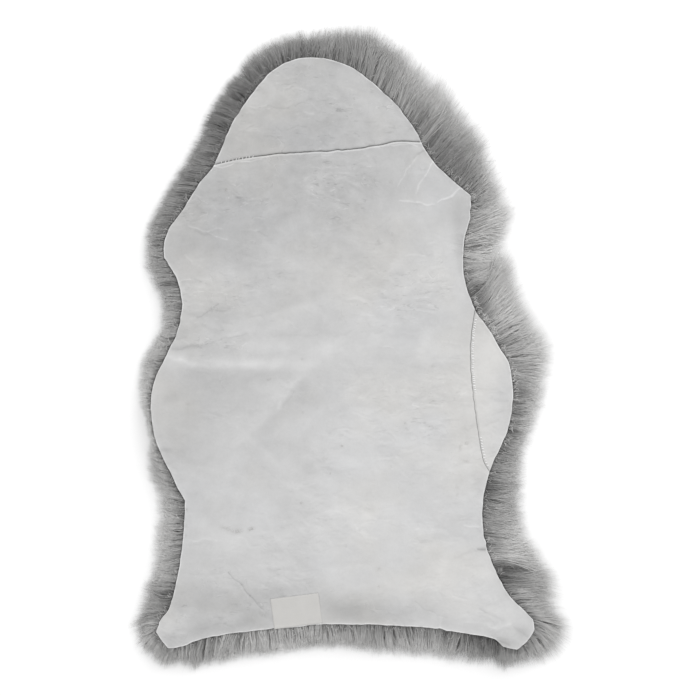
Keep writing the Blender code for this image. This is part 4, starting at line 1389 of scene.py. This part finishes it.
def build_stitches(skin, name, row, rng):
    """A row of short threads over a seam."""
    key, start, end, spacing, near, far, radius, slant = row
    line = np.vstack([skin.seams[key][0][:1], skin.seams[key][1]])
    steps = np.concatenate([[0], np.cumsum(np.linalg.norm(np.diff(line, axis=0), axis=1))])
    share = np.linspace(0, 1, STITCH_POINTS)
    verts, faces, count = [], [], 0
    for place in np.arange(steps[-1] * start, steps[-1] * end, spacing):
        place += rng.normal(0, STITCH_PLACE * spacing)
        middle = np.array([np.interp(place, steps, line[:, d]) for d in (0, 1)])
        ahead = np.array([np.interp(place + 1, steps, line[:, d]) for d in (0, 1)])
        way = (ahead - middle) / np.linalg.norm(ahead - middle)
        across = np.array([-way[1], way[0]])
        lean = slant * (1 + STITCH_SLANT * rng.normal())
        wide = near + (far - near) * share + STITCH_WIDE * rng.normal()
        at = middle + across * wide[:, None] + way * ((share - 0.5) * lean)[:, None]
        height, _ = skin.height(at)
        height += (height.max() - height) * STITCH_TAUT
        height += radius * (STITCH_RISE - STITCH_SINK * np.abs(2 * share - 1) ** 4)
        ring, quads = tube(np.column_stack([at, height]), radius)
        verts.append(ring)
        faces.append(quads + count)
        count += len(ring)
    return build_mesh(name, np.vstack(verts), [np.vstack(faces)], thread_material())


# ---------------------------------------------------------------- the wool


def rim_run(share):
    """Height of the wool over the run from the edge to the tips, as a share of the edge's height."""
    return np.clip(RUN_START - RUN_FALL * np.clip(share, 0, RUN_PAST) ** RUN_POWER, *RUN_LIMITS)


class Wool:
    """The rim's places and directions, for the mass and the strands alike."""

    def __init__(self, skin):
        self.skin = skin
        rng = np.random.default_rng(SEED + SEEDS["rim"])
        steps = np.linalg.norm(np.roll(skin.edge, -1, axis=0) - skin.edge, axis=1)
        self.arc = np.concatenate([[0], np.cumsum(steps)])
        self.length = self.arc[-1]
        self.tall = skin.broad(skin.edge, np.zeros(skin.count)) - SKIN_THICK

        # how the locks lie, from station to station
        lay = {name: row[2] for name, row in STATIONS.items() if row[2]}
        stations = [self.arc[skin.station[name]] for name in lay] + [self.length]
        turns, reach, soft = np.array(list(lay.values()), float).T
        turns = np.unwrap(np.radians(turns))
        heading = np.interp(self.arc[:-1], stations, np.append(turns, turns[0] - 2 * math.pi))
        self.reach = np.interp(self.arc[:-1], stations, np.append(reach, reach[0]))
        self.soft = np.interp(self.arc[:-1], stations, np.append(soft, soft[0]))
        normal = np.arctan2(skin.out[:, 1], skin.out[:, 0])
        off = (normal - heading + math.pi) % (2 * math.pi) - math.pi
        self.lean = np.tan(np.clip(off, -MOST_LEAN, MOST_LEAN))
        uneven = [spread * smooth_noise(skin.count, wide, rng) for spread, wide in RIM_LEAN]
        self.lean += uneven[0] + uneven[1]
        self.reach *= 1 + RIM_REACH[0] * smooth_noise(skin.count, RIM_REACH[1], rng)

        # how they stand aside where they part
        self.parting = np.zeros(skin.count)
        self.gap = np.zeros(skin.count)
        for x, y, half, turn in PARTINGS:
            away = self.arc[:-1] - self.nearest(x, y)
            away = (away + self.length / 2) % self.length - self.length / 2
            self.parting += turn * (away / half) * np.exp(0.5 - 0.5 * (away / half) ** 2)
            self.gap += turn * bell(away, half * PARTING_HALF)
        self.bow = RIM_BOW[0] * smooth_noise(skin.count, RIM_BOW[1], rng)

        tones = {name: row[3] for name, row in STATIONS.items() if row[3]}
        self.stops = sorted((self.arc[skin.station[name]] / self.length, *row) for name, row in tones.items())
        self.stops = sorted(self.stops + self.wedges())

    def nearest(self, x, y):
        """Distance along the rim of the edge point that is nearest to a place."""
        return self.arc[((self.skin.edge - (x, y)) ** 2).sum(1).argmin()]

    def wedges(self):
        """Tones of the wedges of painted shade that open where the locks part, with the tones either side of
        them.
        """
        made = []
        for x, y, half, turn in PARTINGS:
            deepest = WEDGE_SHADE * min(turn, WEDGE_MOST)
            for away, dark in ((-WEDGE_HALF, 0.0), (0.0, deepest), (WEDGE_HALF, 0.0)):
                share = (self.nearest(x, y) + away * half) / self.length % 1.0
                root, middle, tip = (self.tone(share, column) for column in range(3))
                made.append((share, root * (1 - dark), middle * (1 - dark), tip * (1 - dark * WEDGE_TIP)))
        return made

    def at(self, arc, values):
        """Values of the rim at distances along it."""
        arc = np.mod(arc, self.length)
        closed = np.concatenate([values, values[:1]])
        if closed.ndim == 1:
            return np.interp(arc, self.arc, closed)
        return np.column_stack([np.interp(arc, self.arc, closed[:, d]) for d in range(closed.shape[1])])

    def tone(self, share, column):
        table = np.array(self.stops)
        return np.interp(share, table[:, 0], table[:, column + 1], period=1.0)

    def ramp(self, low, high):
        """Places in a stretch of the rim, as shares of it, with the tones at root, half-way and tip."""
        inner = [(row[0] - low) % 1.0 for row in self.stops]
        span = (high - low) % 1.0
        made = []
        for place in [0.0, *sorted(place for place in inner if 0 < place < span), span]:
            tones = [float(self.tone((low + place) % 1.0, column)) for column in range(3)]
            made.append((place / span, *tones))
        return made


def lumps(at):
    """Height of the wool's underside: locks lying over each other, drawn towards the tail."""
    step = np.array(LUMP_STEP)
    best = np.full(len(at), -9.0)
    warped = at + np.column_stack([5 * np.sin(at[:, 1] / 31.0), 6 * np.sin(at[:, 0] / 27.0 + 1.0)])
    cell = np.floor(warped / step)
    for dx in (-1, 0, 1):
        for dy in (-1, 0, 1):
            own = cell + (dx, dy)
            seed, other = (np.sin(own @ way) * size for way, size in LUMP_HASH)
            seed, other = seed - np.floor(seed), other - np.floor(other)
            middle = (own + 0.5 + np.column_stack([seed - 0.5, other - 0.5]) * 0.7) * step
            to = (warped - middle) / (step * 0.72)
            best = np.maximum(best, 1.0 - (to**2).sum(1) + 0.35 * seed - 0.3 * to[:, 1])
    return LUMP_LOW + LUMP_DEEP * (1 - np.clip(best, 0, 1.4) / 1.4)


def build_mass(wool):
    """The wool under the skin and behind the locks: lumps all round, and locks pressed flat beneath."""
    skin, rng = wool.skin, np.random.default_rng(SEED + SEEDS["mass"])
    count = skin.count
    verts, tones = [], []
    for out, up, scaled in MASS:
        if scaled:
            lump = MASS_LUMPS[0] * smooth_noise(count, MASS_LUMPS[1], rng)
            spot = skin.edge + skin.out * (wool.reach * out * (1 + lump))[:, None]
            tall = wool.tall * up * (1 + 0.4 * lump)
            share = wool.arc[:-1] / wool.length
            # painted shade: darker than the locks, and nearer the root tone lower down
            tones.append(MASS_SHADE * (wool.tone(share, 0) * (1 - up) + wool.tone(share, 1) * up))
        else:
            spot = skin.edge + skin.out * out
            inside, _ = skin.edge_distance(spot)
            tall = skin.broad(spot, inside) * up - SKIN_THICK - MASS_SINK
            # painted shade under the skin
            tones.append(np.full(count, HIDDEN_SHADE))
        verts.append(np.column_stack([spot, np.maximum(tall, LUMP_LOW)]))
    ids = np.arange(len(MASS) * count).reshape(len(MASS), count)
    verts = np.vstack(verts)
    lid = triangulate(verts[:count, :2], count)

    # the underside, inside the last ring
    spots = verts[-count:, :2]
    grid = grid_inside(spots, BENEATH_GRID, rng)
    under = triangulate(np.vstack([spots, grid]), count)
    place = np.concatenate([ids[-1], np.arange(len(grid)) + len(verts)])
    rise = np.column_stack([grid, lumps(grid)])
    # painted shade in the underside's hollows: darker where it is drawn up between the lumps
    tones.append(np.full(len(grid), BENEATH_TONE) * (1.12 - 0.12 * rise[:, 2]))
    faces = [np.vstack([place[under][:, ::-1], lid]), band_quads(ids)]
    masks = {"tone": np.concatenate(tones)}
    return build_mesh("wool_mass", np.vstack([verts, rise]), faces, under_wool_material(), None, masks)


def strand_points(wool, layer, index):
    """Every strand of a layer: its rings, its lock and place across it, its thickness and v along it."""
    shift, root_out, root_up, run_up, longest, strands, segments = layer
    rng = np.random.default_rng(SEED + SEEDS["locks"] + index)

    # the locks
    lock_wide = wool.length / LOCKS
    arc = np.arange(LOCKS) + 0.5 + shift + rng.uniform(-LOCK_PLACE, LOCK_PLACE, LOCKS)
    arc = np.mod(arc * lock_wide, wool.length)
    lean = wool.at(arc, wool.lean) + rng.normal(0, LOCK_TURN, LOCKS)
    soft, reach = wool.at(arc, wool.soft), wool.at(arc, wool.reach)
    tufted = np.clip((TUFTED[0] - soft) / TUFTED[1], 0.0, 1.0)
    length = longest * (1 + (LOCK_LENGTH[0] + LOCK_LENGTH[1] * tufted) * rng.normal(size=LOCKS))
    width = lock_wide * rng.uniform(*LOCK_WIDTHS, LOCKS)
    lift = rng.normal(0, LOCK_LIFT, LOCKS) * (LOCK_LIFT_SOFT + (1 - LOCK_LIFT_SOFT) * tufted)
    pull = rng.uniform(*LOCK_PULL, LOCKS)
    bow = wool.at(arc, wool.bow) + rng.normal(0, LOCK_BOW, LOCKS)
    out, parting = wool.at(arc, wool.skin.out), wool.at(arc, wool.parting)

    # their strands, each of which takes its lock's values
    own = np.repeat(np.arange(LOCKS), strands)
    n = len(own)
    arc, lean, soft, tufted, width = arc[own], lean[own], soft[own], tufted[own], width[own]
    lift, pull, bow, out, parting = lift[own], pull[own], bow[own], out[own], parting[own]
    reach = reach[own] * length[own]
    along = np.column_stack([out[:, 1], -out[:, 0]])
    across = rng.uniform(-1, 1, n)
    place = arc + across * width / 2
    home = wool.at(place, wool.skin.edge)
    aside = parting * PARTING_WIDE * (PARTING_LOW + (1 - PARTING_LOW) * run_up)
    tall = wool.at(place, wool.tall) * (1 - PARTING_DEPTH * np.clip(wool.at(place, wool.gap), 0, 1))
    runs_on = rng.random(n) < SOFT_SHARE
    short = (STRAND_SHORT[0] - STRAND_SHORT[1] * tufted) * rng.beta(*STRAND_SHORTS, n)
    inner = reach * (1 - short) - STRAND_BACK * soft
    outer = reach + soft * rng.uniform(*SOFT_RUN, n)
    end = np.where(runs_on, outer, inner)
    stray = rng.random(n) < STRAY_SHARE
    bend = rng.normal(0, 1, n) * (STRAND_BEND[0] - STRAND_BEND[1] * tufted)
    bend += np.where(stray, rng.normal(0, STRAY_BEND, n), 0)
    crimp, phase = rng.uniform(*STRAND_CRIMP, n), rng.uniform(0, 6.28, n)
    slack, higher = rng.normal(0, STRAND_SLACK, n), rng.normal(0, 0.5, n)
    draw_in = pull * np.where(runs_on, 0.3 * tufted, 0.1 + 0.9 * tufted)
    start = root_out + rng.uniform(*STRAND_ROOT, n)

    rings, down = [], []
    for m in range(segments + 1):
        s = m / segments
        go = start + (end - start) * s
        share = np.clip(go / reach, 0, 1)
        crimped = min(1.0, s * CRIMP_START)
        side = -across * width / 2 * draw_in * s**DRAW_POWER + (lean + bend * s) * np.maximum(go, 0)
        side += bow * np.sin(math.pi * share) + aside * np.sin(math.pi * share**0.5)
        side += slack * s + crimp * np.sin(phase + s * CRIMP_TURNS[0]) * crimped
        blend = min(1.0, s * STRAND_RISE)
        z = tall * root_up * (1 - blend) + tall * rim_run(go / reach) * run_up * blend
        wave = crimp * CRIMP_TALL * np.cos(phase + s * CRIMP_TURNS[1]) * crimped
        z = z * (1 + lift + STRAND_LIFT * higher) + wave
        z = np.clip(z, STRAND_LOW[0] + STRAND_LOW[1] * (1 - s), tall * STRAND_HIGH)
        spot = home + out * go[:, None] + along * side[:, None]
        rings.append(np.column_stack([spot, z]))
        down.append(REACH_V * share + PAST_V * np.clip((go - reach) / soft, 0, 1))
    rings, down = np.stack(rings, axis=1), np.stack(down, axis=1)
    thick = STRAND_RADIUS * rng.uniform(*STRAND_THICK, n) * np.where(runs_on, SOFT_THICK, 1.0)
    kept = within_reach(rings)
    return rings[kept], own[kept] + 0.5 + 0.40 * across[kept], thick[kept], down[kept]


def within_reach(rings):
    """Which strands stay near the solids' bounds."""
    low, high = (np.array(corner)[:2] / MM for corner in CAD_BOX)
    spots = rings[..., :2] + SHIFT[:2]
    inside = (spots > low - BEYOND) & (spots < high + BEYOND)
    return inside.all(axis=(1, 2))


def fuzz_points(wool):
    """Short pale fibres that curl out from under the cut edge, in the same form as a layer's strands."""
    rng = np.random.default_rng(SEED + SEEDS["fuzz"])
    place = rng.uniform(0, wool.length, 4 * FUZZ_COUNT)
    share = FUZZ_LEAST + patches(wool.at(place, wool.skin.edge), FUZZ_PLACES)
    place = place[rng.random(4 * FUZZ_COUNT) < share][:FUZZ_COUNT]
    n = len(place)
    home, out = wool.at(place, wool.skin.edge), wool.at(place, wool.skin.out)
    along = np.column_stack([out[:, 1], -out[:, 0]])
    tall, reach = wool.at(place, wool.tall), wool.at(place, wool.reach)
    long = rng.uniform(*FUZZ_LONG, n) * np.clip(reach / FUZZ_REACH, 0.4, 1.0)
    turn = rng.normal(0, FUZZ_TURN, n) - wool.at(place, wool.lean)
    curl = rng.uniform(-FUZZ_CURL, FUZZ_CURL, n)
    lift = rng.uniform(*FUZZ_LIFT, n)
    start = FUZZ_ROOT[0] + FUZZ_ROOT[1] * rng.random(n) ** FUZZ_ROOT[2]
    rings = []
    for s in np.linspace(0, 1, FUZZ_RINGS):
        angle = turn + curl * s
        go = start + long * np.sin(s * 1.35) * np.cos(angle * 0.6)
        side = long * s * np.sin(angle) * 0.8
        z = tall * rim_run(go / reach) * STRAND_HIGH + lift * np.sin(math.pi * s)
        rings.append(np.column_stack([home + out * go[:, None] + along * side[:, None], z]))
    light = rng.uniform(*FUZZ_TONE_V, n)
    down = light[:, None] + np.linspace(0, 0.05, FUZZ_RINGS)
    locks = np.clip(place / wool.length * LOCKS, 0.1, LOCKS - 0.1)
    locks = np.floor(locks) + 0.5 + 0.8 * (locks - np.floor(locks) - 0.5)
    return np.stack(rings, axis=1), locks, rng.uniform(*FUZZ_THICK, n), down


def strand_mesh(name, groups, low, locks, material):
    """Three-sided tapered tubes along the runs, closed at both ends. U runs over the piece's own locks."""
    verts, facing, uvs, quads, tris, count = [], [], [], [], [], 0
    for part, place, wide, down in groups:
        n, rings, _ = part.shape
        side, up = across_and_up(part)
        share = np.arange(rings) / (rings - 1)
        taper = np.sqrt(np.clip(1.02 - share**1.8, 0, 1))[None, :, None, None] * wide[:, None, None, None]
        turns = np.array(STRAND_TURNS)
        spokes = side[:, :, None] * np.cos(turns)[None, None, :, None]
        spokes = spokes + up[:, :, None] * np.sin(turns)[None, None, :, None]
        body = (part[:, :, None] + spokes * taper)[:, :-1]
        tubes = np.concatenate([body.reshape(n, -1, 3), part[:, -1:]], axis=1)
        tubes[..., 2] = np.maximum(tubes[..., 2], LEAST_HEIGHT)
        verts.append(tubes.reshape(-1, 3))
        leaning = (spokes + NORMAL_UP * up[:, :, None])[:, :-1].reshape(n, -1, 3)
        facing.append(np.concatenate([leaning, up[:, -1:]], axis=1).reshape(-1, 3))

        per = (rings - 1) * 3 + 1
        first = (np.arange(n) * per + count)[:, None, None]
        ids = np.arange(per - 1).reshape(rings - 1, 3)
        tips = np.column_stack([ids[-1], np.full(3, per - 1), np.roll(ids[-1], -1)])
        quads.append((first + band_quads(ids)[None, :, [0, 3, 2, 1]]).reshape(-1, 4))
        tris.append((first + np.vstack([tips, ids[:1]])[None]).reshape(-1, 3))
        count += n * per

        uv = np.empty((n, per, 2))
        uv[:, :-1, 0] = np.tile(place[:, None] + np.array(STRAND_U), (1, rings - 1))
        uv[:, :-1, 1] = np.repeat(down[:, :-1], 3, axis=1)
        uv[:, -1] = np.column_stack([place, down[:, -1]])
        uv[..., 0] = (uv[..., 0] - low) / locks
        uvs.append(np.clip(uv, *UV_LIMITS).reshape(-1, 2))
    made = build_mesh(name, np.vstack(verts), [np.vstack(quads), np.vstack(tris)], material, np.vstack(uvs))
    facing = np.vstack(facing)
    facing /= np.linalg.norm(facing, axis=1)[:, None]
    made.data.normals_split_custom_set_from_vertices(facing.tolist())
    return made


def build_strands(wool):
    groups = [strand_points(wool, layer, index) for index, layer in enumerate(LAYERS)]
    groups.append(fuzz_points(wool))
    made = []
    for name, (start, end, gap_shade_reach, streak) in ARCS.items():
        ends = (wool.arc[wool.skin.station[station]] for station in (start, end))
        low, high = (round(place / wool.length * LOCKS) for place in ends)
        locks = (high - low) % LOCKS
        parts = []
        for runs, places, thick, down in groups:
            places = low + (places - low) % LOCKS
            inside = places < low + locks
            parts.append((runs[inside], places[inside], thick[inside], down[inside]))
        stops = wool.ramp(low / LOCKS, high / LOCKS)
        middles = (low + np.arange(locks) + 0.5) * wool.length / LOCKS
        contact = REACH_V * CONTACT_REACH / wool.at(middles, wool.reach).mean()
        material = wool_material(name + "_fibre", stops, locks, contact, gap_shade_reach, streak)
        made.append(strand_mesh(name, parts, low, locks, material))
    return made


# ---------------------------------------------------------------- the room


def build_floor():
    mesh = bpy.data.meshes.new("floor")
    corners = ((-1, -1), (1, -1), (1, 1), (-1, 1))
    mesh.from_pydata([(x * FLOOR_HALF, y * FLOOR_HALF, 0) for x, y in corners], [], [(0, 1, 2, 3)])
    mesh.materials.append(floor_material())
    obj = bpy.data.objects.new("floor", mesh)
    bpy.context.scene.collection.objects.link(obj)


def add_light(name, place, size, power):
    """A square light that faces the middle of the floor."""
    data = bpy.data.lights.new(name, "AREA")
    data.shape = "SQUARE"
    data.size = size
    data.energy = power
    obj = bpy.data.objects.new(name, data)
    obj.location = place
    obj.rotation_euler = (-Vector(place)).to_track_quat("-Z", "Y").to_euler()
    bpy.context.scene.collection.objects.link(obj)


def build_room():
    build_floor()
    world = bpy.data.worlds.new("studio")
    world.use_nodes = True
    background = world.node_tree.nodes["Background"]
    background.inputs[0].default_value = (1, 1, 1, 1)
    background.inputs[1].default_value = WORLD_LIGHT
    bpy.context.scene.world = world
    for name, row in LIGHTS.items():
        add_light(name, *row)
    data = bpy.data.cameras.new("camera")
    camera = bpy.data.objects.new("camera", data)
    centre = (np.array([*VIEW_CENTRE, 0.0]) + SHIFT) * MM
    camera.location = (centre[0], centre[1], CAMERA_HEIGHT)
    data.sensor_width = SENSOR
    data.lens = SENSOR * (CAMERA_HEIGHT - LOFT * MM) / VIEW_WIDTH
    bpy.context.scene.collection.objects.link(camera)
    bpy.context.scene.camera = camera
    bpy.context.scene.view_settings.view_transform = "Standard"


# ---------------------------------------------------------------- the rug


skin = Skin()
panels = build_panels(skin)
label = build_label(skin)
thread_rng = np.random.default_rng(SEED + SEEDS["thread"])
stitches = [build_stitches(skin, name, row, thread_rng) for name, row in STITCHES.items()]
wool = Wool(skin)
mass = build_mass(wool)
strands = build_strands(wool)
build_room()

body, head, patch = (panel[0] for panel in panels)
for piece in (body, head, patch, label, mass, *stitches, *strands):
    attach(piece, "root")
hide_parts("hide_main")
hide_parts("hide_head")
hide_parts("hide_side")
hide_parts("label")
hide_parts("wool")
